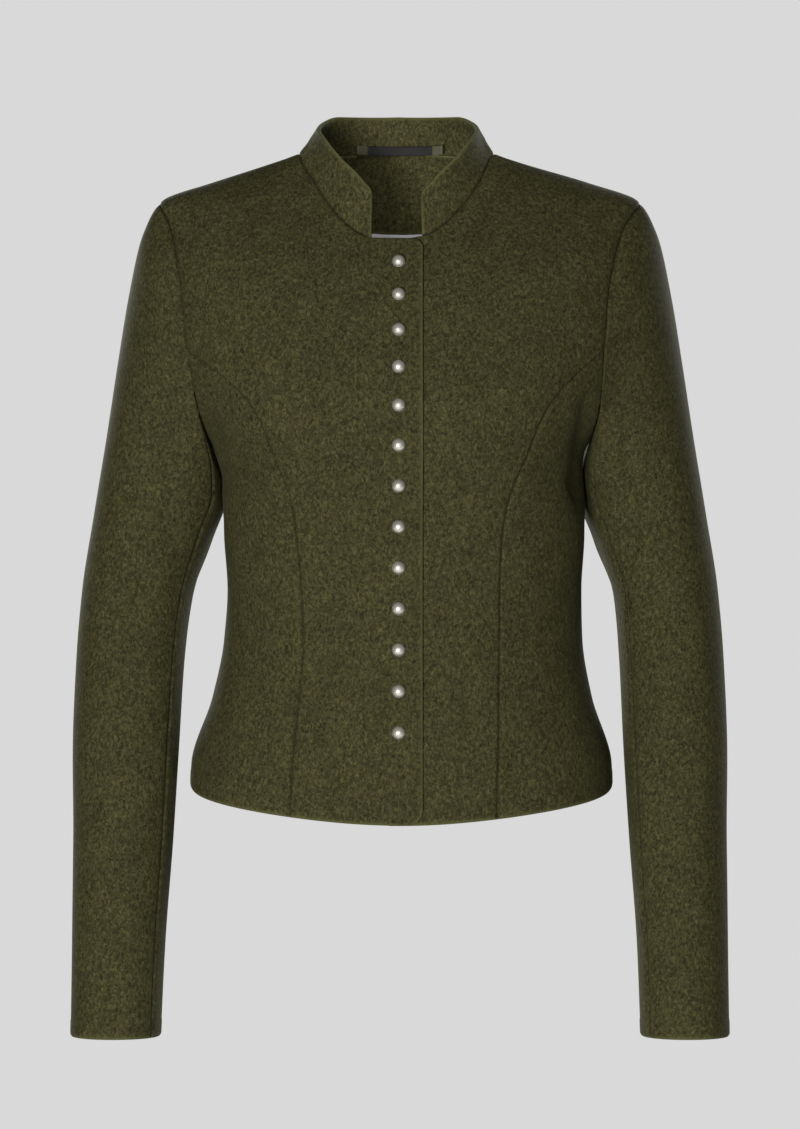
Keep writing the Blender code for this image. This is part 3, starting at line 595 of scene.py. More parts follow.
def princess_line(side, behind):
    """From the hem to the armhole through the table's rows, evenly spaced along its length."""
    seam, turn = (BACK_SEAM, math.tau - BACK_SEAM_TURN) if behind else (FRONT_SEAM, FRONT_SEAM_TURN)
    last_angle, last_height = armhole(side, turn)
    across = np.append(seam["left" if side == LEFT else "right"], abs(torso(last_angle, last_height)[0]))
    height = np.append(seam["height"], last_height)
    length = np.append(0, np.cumsum(np.hypot(np.diff(across), np.diff(height))))
    share = np.linspace(0, length[-1], (CORNER_STEPS + SKIRT_STEPS) * FINE + 1)
    height = smooth(share, length, height)
    angle = seam_angle(side, smooth(share, length, across), height, behind)
    height[0] = hem(angle[0])
    angle[-1] = last_angle
    return np.stack([angle, height], 1)


def side_line(side):
    """Straight up the side, from the hem to the lowest point of the armhole."""
    steps = CORNER_STEPS + SKIRT_STEPS
    return line_between((side * math.pi / 2, HEM_SIDE), (side * math.pi / 2, ARM_BOTTOM), steps)


print("princess seam points:", len(princess_line(LEFT, behind=False)))

# %% [markdown]
# ## From seams to a grid
#
# A panel has four edges. A Coons patch fills it evenly: it adds the two ways of stretching
# straight lines between opposite edges, and takes away the flat patch that both count twice.
# The patch is worked out in angles and heights, so every point of it then lies on the form.
# Rows and columns are a few millimetres apart, and closer near the edges, where the cloth
# rolls into the seams.

# %% Fill a panel from its four edges
STEP = 0.0026  # between rows and columns in the middle of a panel
NEAR_EDGE = np.array([0, 0.35, 0.8, 1.4, 2.2, 3.2, 4.4, 6.0]) / 1000


def spaced(length):
    """Shares of a line: close together near both its ends, then every few millimetres."""
    near = NEAR_EDGE[NEAR_EDGE < length / 3]
    count = max(2, round((length - 2 * near[-1]) / STEP))
    middle = np.linspace(near[-1], length - near[-1], count + 1)
    return np.concatenate([near[:-1], middle, length - near[-2::-1]]) / length


def run_of(points):
    """The length along a line of points, at each of them."""
    return np.append(0, np.cumsum(np.linalg.norm(np.diff(points, axis=0), axis=1)))


def places(one, other):
    """Where to put the rows between two opposite edges, by the mean of their lengths."""
    run = (run_of(torso(*one.T)) + run_of(torso(*other.T))) / 2
    return np.interp(spaced(run[-1]) * run[-1], run, np.linspace(0, 1, len(run)))


def pick(line, shares):
    """The line's points at these shares of its count."""
    at = np.linspace(0, 1, len(line))
    return np.stack([np.interp(shares, at, column) for column in line.T], 1)


def coons(bottom, top, start, end):
    """Angles and heights over the panel: sides + ends - corners."""
    up, across = places(start, end), places(bottom, top)
    bottom, top, start, end = pick(bottom, across), pick(top, across), pick(start, up), pick(end, up)
    across, up = across[None, :, None], up[:, None, None]
    sides = start[:, None] * (1 - across) + end[:, None] * across
    ends = bottom * (1 - up) + top * up
    corners = (bottom[0] * (1 - across) + bottom[-1] * across) * (1 - up)
    return sides + ends - corners - (top[0] * (1 - across) + top[-1] * across) * up


print("a 0.2 m line is cut into", len(spaced(0.2)) - 1, "steps")

# %% [markdown]
# Each side of the body has four panels, and each panel's edges are now taken from the seams:
# the front runs from the opening to the princess seam and the armhole, its side panel from
# that seam to the side, and the same again behind, with a seam down the middle of the back.
# Neighbours take the same line, so nothing has to be stitched together afterwards.

# %% Fill the eight panels of the body
def front_lines(side):
    """The front's inner border, from the hem up the opening to the shoulder, its outer one up
    the princess seam and the armhole, and the share of the inner one that is a free edge."""
    neckline = neck_line(side, COLLAR_END[side])
    opening = front_edge(side)
    opening = np.concatenate([opening, line_between(opening[-1], neckline[0], 1)[1:]])
    inner = np.concatenate([opening, neckline[1:]])
    seam = princess_line(side, behind=False)
    arm_steps = (len(inner) - len(seam)) // FINE
    outer = np.concatenate([seam[:-1], arm_line(side, FRONT_SEAM_TURN, 0, arm_steps)])
    return inner, outer, len(opening) / len(inner)


def front_grids(side):
    """The front and its side panel. Columns run out from the opening, rows up from the hem."""
    seam = princess_line(side, behind=False)
    inner, outer, _ = front_lines(side)
    front = coons(
        hem_line(inner[0, 0], seam[0, 0], FRONT_COLUMNS),
        line_between(inner[-1], outer[-1], FRONT_COLUMNS),
        inner,
        outer,
    )
    under = coons(
        hem_line(seam[0, 0], side * math.pi / 2, SIDE_STEPS),
        arm_line(side, FRONT_SEAM_TURN, math.pi, SIDE_STEPS),
        seam,
        side_line(side),
    )
    return front, under


def back_grids(side):
    """The back and its side panel, from the middle seam outwards."""
    seam = princess_line(side, behind=True)
    centre = side * math.pi
    steps = CORNER_STEPS + SKIRT_STEPS + CHEST_STEPS
    spine = line_between((centre, HEM_BACK), (centre, float(neck(side, centre))), steps)
    inner = np.concatenate([spine, neck_line(side, centre)[1:]])
    arm_steps = (len(inner) - len(seam)) // FINE
    start = math.tau - BACK_SEAM_TURN
    outer = np.concatenate([seam[:-1], arm_line(side, start, math.tau, arm_steps)])
    back = coons(
        hem_line(centre, seam[0, 0], BACK_COLUMNS),
        line_between(inner[-1], outer[-1], BACK_COLUMNS),
        inner,
        outer,
    )
    under = coons(
        hem_line(side * math.pi / 2, seam[0, 0], SIDE_STEPS),
        arm_line(side, math.pi, start, SIDE_STEPS),
        side_line(side),
        seam,
    )
    return back, under


GRIDS = {}
for side, word in ((RIGHT, "right"), (LEFT, "left")):
    GRIDS[f"front_{word}"], GRIDS[f"front_side_{word}"] = front_grids(side)
    GRIDS[f"back_{word}"], GRIDS[f"back_side_{word}"] = back_grids(side)
print({name: grid.shape[:2] for name, grid in GRIDS.items()})

# %% [markdown]
# ## Soft folds, placed by hand
#
# Felted wool is thick and springy, so this jacket shows only a few soft folds: a hollow
# beside each armhole, a crease where each sleeve turns in towards the body, slight breaks at
# the elbows and at the waist. A cloth simulation would crumple it in places of its own
# choosing. Each fold is written down instead, as a line that starts and ends somewhere, bows
# to one side, and has its own width and depth. Its section is a trough with a low ridge on
# either side, and it swells and fades along its length, so that no two look alike.

# %% Lines of the folds
FOLDS = table(
    # from here, to there, how far it bows, its half width, its depth, and the face it is on:
    # -1 the front, 1 the back. A negative depth is a ridge.
    "x       z       to_x    to_z    bow     width  depth   face",
    # the right side of the body and its back, then the left
    (-0.1560, -0.1900, -0.1400, -0.2700, 0.0040, 0.0075, 0.0030, -1),
    (-0.1640, -0.1500, -0.1250, -0.2050, -0.0050, 0.0090, 0.0012, -1),
    (-0.1380, -0.3100, -0.0950, -0.3420, 0.0030, 0.0085, 0.0010, -1),
    (-0.1340, -0.3650, -0.0980, -0.3500, 0.0020, 0.0070, 0.0009, -1),
    (-0.1400, -0.3180, -0.0350, -0.3560, 0.0060, 0.0110, 0.0022, 1),
    (-0.1300, -0.3720, -0.0500, -0.3640, -0.0040, 0.0090, 0.0016, 1),
    (-0.1500, -0.2150, -0.0900, -0.2650, 0.0060, 0.0120, 0.0020, 1),
    (-0.1640, -0.1700, -0.1440, -0.2900, -0.0040, 0.0105, -0.0052, 1),
    (0.1500, -0.1880, 0.1418, -0.2860, -0.0030, 0.0080, 0.0055, -1),
    (0.1600, -0.1560, 0.1250, -0.1780, 0.0040, 0.0060, 0.0010, -1),
    (0.1420, -0.3050, 0.1020, -0.3370, -0.0030, 0.0080, 0.0011, -1),
    (0.1380, -0.3700, 0.0950, -0.3560, -0.0020, 0.0075, 0.0009, -1),
    (0.1420, -0.3120, 0.0450, -0.3480, -0.0050, 0.0105, 0.0020, 1),
    (0.1340, -0.3780, 0.0300, -0.3700, 0.0040, 0.0095, 0.0017, 1),
    (0.1480, -0.2200, 0.0800, -0.2600, -0.0060, 0.0110, 0.0018, 1),
    (0.1660, -0.1720, 0.1450, -0.2950, 0.0040, 0.0115, -0.0066, 1),
)
ARM_FOLDS = table(
    "x       z       to_x    to_z    bow     width  depth   face",
    # the right sleeve: under the arm, the elbow, above the cuff
    (-0.1760, -0.1950, -0.1800, -0.3300, -0.0060, 0.0080, 0.0024, -1),
    (-0.2350, -0.3300, -0.1850, -0.3480, 0.0040, 0.0085, 0.0012, -1),
    (-0.2000, -0.4050, -0.2480, -0.4230, -0.0030, 0.0090, 0.0009, -1),
    (-0.2440, -0.5350, -0.2060, -0.5260, 0.0030, 0.0080, 0.0007, -1),
    (-0.1500, -0.1850, -0.1660, -0.3350, 0.0030, 0.0120, -0.0058, 1),
    (-0.2420, -0.3280, -0.1830, -0.3650, 0.0060, 0.0100, 0.0022, 1),
    (-0.2380, -0.3760, -0.1900, -0.3880, -0.0050, 0.0080, 0.0018, 1),
    (-0.2320, -0.4300, -0.1950, -0.4150, 0.0030, 0.0080, 0.0012, 1),
    # the left sleeve
    (0.1775, -0.2050, 0.1810, -0.3350, 0.0040, 0.0075, 0.0050, -1),
    (0.1790, -0.2760, 0.2010, -0.2860, 0.0030, 0.0050, 0.0012, -1),
    (0.2280, -0.2980, 0.1960, -0.3150, -0.0030, 0.0075, 0.0012, -1),
    (0.1940, -0.4180, 0.2420, -0.4300, 0.0030, 0.0085, 0.0010, -1),
    (0.2440, -0.5150, 0.2050, -0.5300, -0.0030, 0.0085, 0.0008, -1),
    (0.1500, -0.1800, 0.1690, -0.3400, -0.0030, 0.0130, -0.0074, 1),
    (0.2440, -0.3350, 0.1850, -0.3600, -0.0050, 0.0100, 0.0021, 1),
    (0.2360, -0.3820, 0.1900, -0.3820, 0.0050, 0.0085, 0.0018, 1),
    (0.2340, -0.4360, 0.1980, -0.4250, -0.0030, 0.0080, 0.0011, 1),
)
print("folds:", len(FOLDS["x"]), "on the body,", len(ARM_FOLDS["x"]), "on the sleeves")

# %% [markdown]
# A fold could be cut with a displacement texture, but a texture has no start and no end. A
# formula has both: for each point, how far it is along the fold's line and how far beside it.
# Two slow sines make the line wander and the depth vary, as no real fold is ruled.

# %% Folds as troughs along bowed lines
FOLD_FADE = 0.7  # the power of the sine that a fold swells and fades by
# Two sines: how strong each is, its phase along a whole fold, and its shift for each next fold.
WANDER = ((0.22, 9.1, 1.7), (0.13, 17.3, 0.9))
FOLD_SLIM, FOLD_FULL = 0.8, 0.35  # shares of the width, at the ends and added in the middle
FACE_FROM, FACE_OVER = -0.15, 0.5  # a fold fades out where the cloth turns from its face


def soft_step(values):
    """0 below 0, 1 above 1, and 3t^2 - 2t^3 between."""
    t = np.clip(values, 0, 1)
    return t * t * (3 - 2 * t)


def fold_depths(points, ways, folds):
    """How far each point moves out along its own way. For each fold, t is the share of the
    way along its line and d the distance from the bowed line, and the trough is
    (1 - q / 2) e^-q with q = (d / width)^2, times a sine in t to the power FOLD_FADE. The
    width is a little fuller in the middle than at the ends."""
    moved = np.zeros(points.shape[:-1])
    for number, (x, z, to_x, to_z, bow, width, depth, face) in enumerate(zip(*folds.values())):
        way = np.array([to_x - x, to_z - z])
        length = np.hypot(*way)
        way = way / length
        east, up = points[..., 0] - x, points[..., 2] - z
        t = (east * way[0] + up * way[1]) / length
        swell = np.sin(math.pi * np.clip(t, 0, 1)) ** FOLD_FADE
        wander = 1 + sum(share * np.sin(waves * t + shift * number) for share, waves, shift in WANDER)
        d = (up * way[0] - east * way[1]) - bow * 4 * t * (1 - t) * wander
        q = (d / (width * (FOLD_SLIM + FOLD_FULL * wander * swell))) ** 2
        facing = soft_step((face * ways[..., 1] - FACE_FROM) / FACE_OVER)
        moved -= depth * wander * (1 - q / 2) * np.exp(-q) * swell * facing
    return moved


print("deepest trough:", round(max(FOLDS["depth"].max(), ARM_FOLDS["depth"].max()) * 1000, 1), "mm")

# %% [markdown]
# ## A shell of cloth
#
# Each panel becomes a closed shell: an outer face, an inner face one cloth thickness below
# it, and a narrow rim round the border. What the eye reads as cloth is mostly its edges. At a
# seam the outer face rolls down and the cloth beside it stands a little proud, because the
# allowances are pressed open underneath. At a turned edge both faces round off into a soft
# lip. The distance to each border is measured along the rows and columns of the grid. A
# Bevel modifier would round every edge alike and know no seam from a hem.

# %% Roll the edges
CLOTH = 0.0020
SEAM_ROLL, SEAM_WIDTH = 0.00115, 0.0015
SEAM_SHADE_REACH, EDGE_HIGHLIGHT_REACH = 0.0011, 0.0018  # how far the painted seam shade and the painted edge highlight reach
SINK_MOST, RISE_MOST = 0.60, 0.35  # shares of the cloth's thickness
SEAM_BELOW = 0.3  # the inner face rises by this share of the roll
SEAM_PUFF, PUFF_AT, PUFF_WIDTH = 0.00022, 0.0052, 0.0030
LIP_WIDTH, LIP_GAP = 0.0009, 0.00006
TURN_UP, TURN_WIDTH, TURN_SOFT = 0.00035, 0.0110, 0.0030  # the turning doubles the cloth


def border_distances(points):
    """For each point, its distance to the bottom, top, start and end of the grid."""
    up = np.linalg.norm(np.diff(points, axis=0), axis=-1)
    up = np.concatenate([np.zeros((1, points.shape[1])), np.cumsum(up, axis=0)])
    across = np.linalg.norm(np.diff(points, axis=1), axis=-1)
    across = np.concatenate([np.zeros((points.shape[0], 1)), np.cumsum(across, axis=1)], axis=1)
    return {"bottom": up, "top": up[-1:] - up, "start": across, "end": across[:, -1:] - across}


def rolled(points, thickness, turned, grooved):
    """How far the outer face sinks, how far the inner face rises, and the painted light near the
    borders. turned gives, for each border, 1 where it is a turned edge and 0 where it is a seam,
    and grooved how deep the seams are near each point.
    A seam sinks as e^-(d/w)^2; a lip closes to half the thickness, as e^-(d/w)^1.5. The third
    result is painted light for the colour: 1 is a painted highlight at a turned edge, and it runs
    through 0 to -1, a painted shade in a seam."""
    sink, rise, lip, seam_shade = 0, 0, 0, 0
    for border, d in border_distances(points).items():
        free = turned.get(border, 0)
        seam = grooved * SEAM_ROLL * np.exp(-((d / SEAM_WIDTH) ** 2))
        seam = seam - SEAM_PUFF * np.exp(-(((d - PUFF_AT) / PUFF_WIDTH) ** 2))
        close = thickness / 2 * np.exp(-((d / LIP_WIDTH) ** 1.5)) - LIP_GAP
        turn = TURN_UP * (1 - soft_step((d - TURN_WIDTH) / TURN_SOFT))
        sink = sink + seam * (1 - free) + (close - turn) * free
        rise = rise + SEAM_BELOW * np.clip(seam, 0, None) * (1 - free) + close * free
        # painted highlight: the colour is lightened along turned edges
        lip = np.maximum(lip, free * np.exp(-((d / EDGE_HIGHLIGHT_REACH) ** 2)))
        # painted shade: the colour is darkened in the seam grooves
        seam_shade = np.maximum(seam_shade, grooved * (1 - free) * np.exp(-((d / SEAM_SHADE_REACH) ** 2)))
    sink, rise = np.minimum(sink, SINK_MOST * thickness), np.minimum(rise, RISE_MOST * thickness)
    return sink, rise, lip - seam_shade


print("edges roll in over", SEAM_WIDTH * 1000, "mm at seams and", LIP_WIDTH * 1000, "mm at lips")

# %% [markdown]
# The shell is closed by hand instead of with a Solidify modifier, because its two faces don't
# keep the same distance: they draw together at the edges. Its UV map holds real distances in
# metres, so that a woven pattern on it has a true scale, and an attribute holds painted light:
# a painted highlight along the turned edges and a painted shade in the seams.

# %% Close the shell
BUILT = {}  # each finished piece and its count of triangles
UNFOLDED = {}  # each piece of cloth's area before its folds and edges, in square metres


def shell(name, outer, inner, finish, lip, flat_at):
    """A closed shell between two grids: both faces and a rim round the border. The UV map
    holds the cloth's own distances across and up, in metres."""
    facing = np.cross(np.diff(outer, axis=1)[:-1], np.diff(outer, axis=0)[:, :-1])
    if np.sum(facing * (outer - inner)[:-1, :-1]) < 0:
        outer, inner, lip, flat_at = (grid[:, ::-1] for grid in (outer, inner, lip, flat_at))
    rows, columns = outer.shape[:2]
    count = rows * columns
    number = np.arange(count).reshape(rows, columns)
    a, b = number[:-1, :-1].ravel(), number[:-1, 1:].ravel()
    top = np.stack([a, b, number[1:, 1:].ravel(), number[1:, :-1].ravel()], 1)
    border = np.concatenate([number[0, :-1], number[:-1, -1], number[-1, :0:-1], number[:0:-1, 0]])
    after = np.roll(border, -1)
    rim = np.stack([after, border, border + count, after + count], 1)
    faces = np.concatenate([top, top[:, ::-1] + count, rim])
    mesh = bpy.data.meshes.new(name)
    mesh.from_pydata(np.concatenate([outer, inner]).reshape(-1, 3).tolist(), [], faces.tolist())
    mesh.shade_smooth()
    uv = np.tile(flat_at.reshape(-1, 2), (2, 1))[faces.ravel()]
    mesh.uv_layers.new(name="cloth").data.foreach_set("uv", uv.astype(np.float32).ravel())
    # the attribute holds painted light: a painted highlight at turned edges, a painted shade in seams
    painted_light_attribute = mesh.attributes.new("lip", "FLOAT", "POINT")
    painted_light_attribute.data.foreach_set("value", np.tile(lip.ravel(), 2).astype(np.float32))
    mesh.materials.append(finish)
    made = bpy.data.objects.new(name, mesh)
    bpy.context.scene.collection.objects.link(made)
    BUILT[name] = (made, 2 * len(faces))


def grid_area(points):
    """The area of a grid: half the cross product of each cell's two diagonals, added up."""
    rising = points[1:, 1:] - points[:-1, :-1]
    falling = points[1:, :-1] - points[:-1, 1:]
    return float(np.linalg.norm(np.cross(rising, falling), axis=-1).sum()) / 2


def cloth(name, points, ways, finish, turned, thickness=CLOTH, lift=0.0, grooved=1.0):
    """A panel of cloth whose outer face lies on the points, plus what lifts it off them."""
    UNFOLDED[name] = grid_area(points)
    sink, rise, lip = rolled(points, thickness, turned, grooved)
    away = border_distances(points)
    flat_at = np.stack([away["start"], away["bottom"]], -1)
    outer = points + ways * (lift - sink)[..., None]
    inner = points + ways * (lift - thickness + rise)[..., None]
    shell(name, outer, inner, finish, lip, flat_at)


print("a cell of cloth is", round(STEP * 1000, 1), "mm across, away from its edges")

# %% [markdown]
# ## Felted loden wool
#
# Loden is woven, then milled until it felts, so no weave shows. The eye gets a dark olive
# mottle from fibres of several greens and browns, a few millimetres long and lying mostly
# downwards, a short nap that is matt face on and glows a little where it is seen edge on,
# and no gloss. The mottle is so fine that where a seam cuts it can't be seen, so it is taken
# from the object's own coordinates, in metres, and is nowhere stretched. Along the turned edges
# a painted highlight lightens the colour, and in the seams a painted shade darkens it.

# %% Material: felted loden wool, its colours
def new_material(name):
    """A new material, its node tree and its main shader."""
    made = bpy.data.materials.new(name)
    made.use_nodes = True
    tree = made.node_tree
    shader = tree.nodes["Principled BSDF"]
    return made, tree, shader


MM = 0.001
# The fibres themselves are finer than a hair, so what is drawn is the tufts that they felt
# into, as coarse as they need to be to show from four metres.
FIBRE_MM, FLECK_MM, CLOUD_MM = 2.1, 3.0, 26
LYING = (1.0, 1.0, 0.70)  # the tufts are longer downwards

LODEN, felt, wool = new_material("felted loden wool")
place = add_node(felt, "ShaderNodeTexCoord")
brushed = add_node(felt, "ShaderNodeMapping", Vector=place.outputs["Object"], Scale=LYING)
fibres = add_node(
    felt, "ShaderNodeTexNoise",
    Vector=brushed.outputs[0], Scale=1 / (FIBRE_MM * MM), Detail=3.0, Roughness=0.62, Distortion=0.9,
)
mottle = add_node(felt, "ShaderNodeValToRGB", Fac=fibres.outputs["Fac"])
ramp = mottle.color_ramp
ramp.elements[0].position, ramp.elements[0].color = 0.33, linear("#24230e")
ramp.elements[1].position, ramp.elements[1].color = 0.70, linear("#5d5b38")
middle = ramp.elements.new(0.50)
middle.color = linear("#3f3d21")
flecks = add_node(
    felt, "ShaderNodeTexNoise",
    Vector=brushed.outputs[0], Scale=1 / (FLECK_MM * MM), Detail=2.0, Roughness=0.5, Distortion=1.6,
)
rare = add_node(
    felt, "ShaderNodeMapRange", Value=flecks.outputs["Fac"], From_Min=0.60, From_Max=0.74, To_Max=0.55
)
browned = add_node(
    felt, "ShaderNodeMix", {"data_type": "RGBA"},
    _0=rare.outputs[0], _6=mottle.outputs[0], _7=linear("#4d3f22"),
)
clouds = add_node(
    felt, "ShaderNodeTexNoise", Vector=place.outputs["Object"], Scale=1 / (CLOUD_MM * MM), Detail=3.0
)
shade = add_node(
    felt, "ShaderNodeMapRange",
    Value=clouds.outputs["Fac"], From_Min=0.3, From_Max=0.7, To_Min=0.90, To_Max=1.10,
)
clouded = add_node(
    felt, "ShaderNodeMix", {"data_type": "RGBA", "blend_type": "MULTIPLY"},
    _0=1.0, _6=browned.outputs[2], _7=shade.outputs[0],
)
# The attribute holds painted light: a painted highlight along turned edges and a painted shade in the
# seams.
painted_light_attribute = add_node(felt, "ShaderNodeAttribute", {"attribute_name": "lip"})
# painted highlight: a lighter olive mixed in along the turned edges
edge_highlight = add_node(felt, "ShaderNodeMapRange", Value=painted_light_attribute.outputs["Fac"], To_Max=0.75)
lighter = add_node(
    felt, "ShaderNodeMix", {"data_type": "RGBA"},
    _0=edge_highlight.outputs[0], _6=clouded.outputs[2], _7=linear("#66673f"),
)
# painted shade: a near-black olive mixed in along the seam grooves
seam_shade = add_node(
    felt, "ShaderNodeMapRange", Value=painted_light_attribute.outputs["Fac"], From_Min=0.0, From_Max=-1.0, To_Max=0.42
)
coloured = add_node(
    felt, "ShaderNodeMix", {"data_type": "RGBA"},
    _0=seam_shade.outputs[0], _6=lighter.outputs[2], _7=linear("#15150a"),
)
felt.links.new(coloured.outputs[2], wool.inputs["Base Color"])
print("loden: tufts", FIBRE_MM, "mm, clouds", CLOUD_MM, "mm")

# %% [markdown]
# The nap scatters light, so loden is rough all over and has next to no highlight. The tufts
# that give it its tones also stand up from it, so the same noises drive a shallow bump, and a
# little sheen stands for the hairs that catch the light edge on.

# %% Material: felted loden wool, its nap
dull = add_node(felt, "ShaderNodeMapRange", Value=fibres.outputs["Fac"], To_Min=0.80, To_Max=0.98)
felt.links.new(dull.outputs[0], wool.inputs["Roughness"])
nap = add_node(felt, "ShaderNodeBump", Height=fibres.outputs["Fac"], Strength=0.55, Distance=0.45 * MM)
lumps = add_node(
    felt, "ShaderNodeBump",
    Height=flecks.outputs["Fac"], Strength=0.30, Distance=0.6 * MM, Normal=nap.outputs[0],
)
felt.links.new(lumps.outputs[0], wool.inputs["Normal"])
wool.inputs["Specular IOR Level"].default_value = 0.22
wool.inputs["Sheen Weight"].default_value = 0.04
wool.inputs["Sheen Roughness"].default_value = 0.55
wool.inputs["Sheen Tint"].default_value = linear("#9a9b6a")
print("loden:", len(felt.nodes), "nodes")

# %% [markdown]
# The lining is a pale grey-lilac satin. In satin each thread floats over several others, so
# it is smooth and a little glossy, with fine streaks that run along the floats. The threads
# are too fine to show, so the streaks are drawn as bundles of them.

# %% Material: pale satin lining
THREAD_MM = 0.8  # a bundle of threads
FLOATING = (1.0, 0.12, 1.0)  # the streaks run up the piece

SATIN, sateen, gloss = new_material("pale satin lining")
lining_uv = add_node(sateen, "ShaderNodeUVMap", {"uv_map": "cloth"})
floats = add_node(sateen, "ShaderNodeMapping", Vector=lining_uv.outputs[0], Scale=FLOATING)
threads = add_node(
    sateen, "ShaderNodeTexNoise", Vector=floats.outputs[0], Scale=1 / (THREAD_MM * MM), Detail=2.0
)
pale = add_node(sateen, "ShaderNodeValToRGB", Fac=threads.outputs["Fac"])
pale.color_ramp.elements[0].color = linear("#d2ced4")
pale.color_ramp.elements[1].color = linear("#f4f1f5")
sateen.links.new(pale.outputs[0], gloss.inputs["Base Color"])
silk = add_node(sateen, "ShaderNodeBump", Height=threads.outputs["Fac"], Strength=0.2, Distance=0.1 * MM)
sateen.links.new(silk.outputs[0], gloss.inputs["Normal"])
gloss.inputs["Roughness"].default_value = 0.38
gloss.inputs["Sheen Weight"].default_value = 0.1
print("satin: streaks", THREAD_MM, "mm wide")

# %% [markdown]
# The hanger tape is a narrow cotton twill, matt, with diagonal ribs a millimetre apart. It is
# black, and its folded ends are a greyer green. The two differ only in colour, so one
# function makes both.

# %% Materials: black and grey green twill tape
RIB_MM = 1.0
WAVE_SPACING = 0.45  # how far apart the texture's diagonal waves are at a scale of 1


def twill(name, dark, light):
    """A ribbed tape: diagonal waves across the UV map, a little uneven."""
    made, tree, shader = new_material(name)
    at = add_node(tree, "ShaderNodeUVMap", {"uv_map": "cloth"})
    ribs = add_node(
        tree, "ShaderNodeTexWave", {"bands_direction": "DIAGONAL"},
        Vector=at.outputs[0], Scale=WAVE_SPACING / (RIB_MM * MM), Distortion=0.6,
    )
    tones = add_node(tree, "ShaderNodeValToRGB", Fac=ribs.outputs["Fac"])
    tones.color_ramp.elements[0].color = linear(dark)
    tones.color_ramp.elements[1].color = linear(light)
    tree.links.new(tones.outputs[0], shader.inputs["Base Color"])
    raised = add_node(tree, "ShaderNodeBump", Height=ribs.outputs["Fac"], Strength=0.4, Distance=0.15 * MM)
    tree.links.new(raised.outputs[0], shader.inputs["Normal"])
    shader.inputs["Roughness"].default_value = 0.8
    return made


TWILL = twill("black twill tape", "#0c0b0b", "#242120")
TAPE_FOLD = twill("grey green twill tape", "#43432f", "#605f4a")
print("twill: ribs", RIB_MM, "mm apart")

# %% [markdown]
# The buttons are cast white metal with an old silver finish. Hands rub the dome bright and
# leave the rim and the groove dark, so the tone follows how far each ring of the button is
# from the crown, with the small pits of the casting mixed in.

# %% Material: old silver on cast metal
PIT_MM = 1.1

SILVER, cast, metal = new_material("old silver on cast metal")
spot = add_node(cast, "ShaderNodeTexCoord")
pits = add_node(
    cast, "ShaderNodeTexNoise",
    Vector=spot.outputs["Object"], Scale=1 / (PIT_MM * MM), Detail=4.0, Roughness=0.6,
)
worn = add_node(cast, "ShaderNodeAttribute", {"attribute_name": "rim"})
dirt = add_node(
    cast, "ShaderNodeMapRange",
    Value=pits.outputs["Fac"], From_Min=0.35, From_Max=0.75, To_Min=-0.15, To_Max=0.35,
)
dark = add_node(
    cast, "ShaderNodeMath", {"operation": "ADD", "use_clamp": True},
    _0=worn.outputs["Fac"], _1=dirt.outputs[0],
)
toned = add_node(
    cast, "ShaderNodeMix", {"data_type": "RGBA"},
    _0=dark.outputs[0], _6=linear("#dcd8cc"), _7=linear("#3b3830"),
)
cast.links.new(toned.outputs[2], metal.inputs["Base Color"])
rough = add_node(cast, "ShaderNodeMapRange", Value=dark.outputs[0], To_Min=0.36, To_Max=0.62)
cast.links.new(rough.outputs[0], metal.inputs["Roughness"])
hammered = add_node(cast, "ShaderNodeBump", Height=pits.outputs["Fac"], Strength=0.35, Distance=0.25 * MM)
cast.links.new(hammered.outputs[0], metal.inputs["Normal"])
metal.inputs["Metallic"].default_value = 0.6
print("materials:", [m.name for m in (LODEN, SATIN, TWILL, TAPE_FOLD, SILVER)])

# %% [markdown]
# ## The body's eight panels
#
# Where the fronts lap, the right one stands half the lap's height off the form and the left
# one as much below it, so both fade back onto the form within a hand's width of the opening.
# At the armhole two cloths meet at a steep angle. If each sank along its own way, a slit would
# open between them, so near that seam both take the way halfway between.

# %% What the body's panels share
LAP_GAP, LAP_FULL, LAP_FADE = 0.0012, 0.0240, 0.0600
LAP_FOLDS = 0.0300  # folds fade out over this much where the fronts start to lap
SEAM_HALF = 0.00008  # each panel stops this far short of its seam
NEAR_ARM = 0.0060
ARM_SHALLOW = 0.3  # the armhole's groove is shallower than the other seams' by this share
SHOULDER_ROUND, CAP_ROUND = 0.0014, 0.0003  # the shoulder's point is rounded off this much
AGREE_FROM, AGREE_OVER = 0.1, 0.6  # cosines between two cloths' own ways, see below


def lap(side, points):
    """How far a front stands off the form: fully near the middle, fading as a soft step."""
    share = soft_step((LAP_FADE - np.abs(points[..., 0])) / (LAP_FADE - LAP_FULL))
    return -side * (CLOTH + LAP_GAP) / 2 * share


def at_armhole(side, points, ways, turn, other_ways):
    """Both cloths at the armhole seam leave it the same way, halfway between their own two,
    unless they fold back on each other. Gives the ways and how near the seam each point is,
    e^-(d / NEAR_ARM)^2."""
    d = np.linalg.norm(points - torso(*armhole(side, turn)), axis=-1, keepdims=True)
    near = np.exp(-((d / NEAR_ARM) ** 2))
    agree = np.sum(ways * other_ways, -1, keepdims=True)
    share = near * soft_step((agree - AGREE_FROM) / AGREE_OVER)
    return unit(ways * (1 - share / 2) + other_ways * share / 2), near[..., 0]


def drawn_in(points):
    """Pulls the grid's four borders in, to leave the seam's own narrow gap."""
    moved = points.copy()
    for first, second in ((0, 1), (-1, -2)):
        moved[first] += unit(points[second] - points[first]) * SEAM_HALF
        moved[:, first] += unit(points[:, second] - points[:, first]) * SEAM_HALF
    return moved


print("between the fronts, where they lap:", LAP_GAP * 1000, "mm")

# %% [markdown]
# Now the panels are made. The hems and the front edges are turned, the rest are seams. The
# share of the front's inner border that is free comes from its own line: it ends where the
# collar begins.

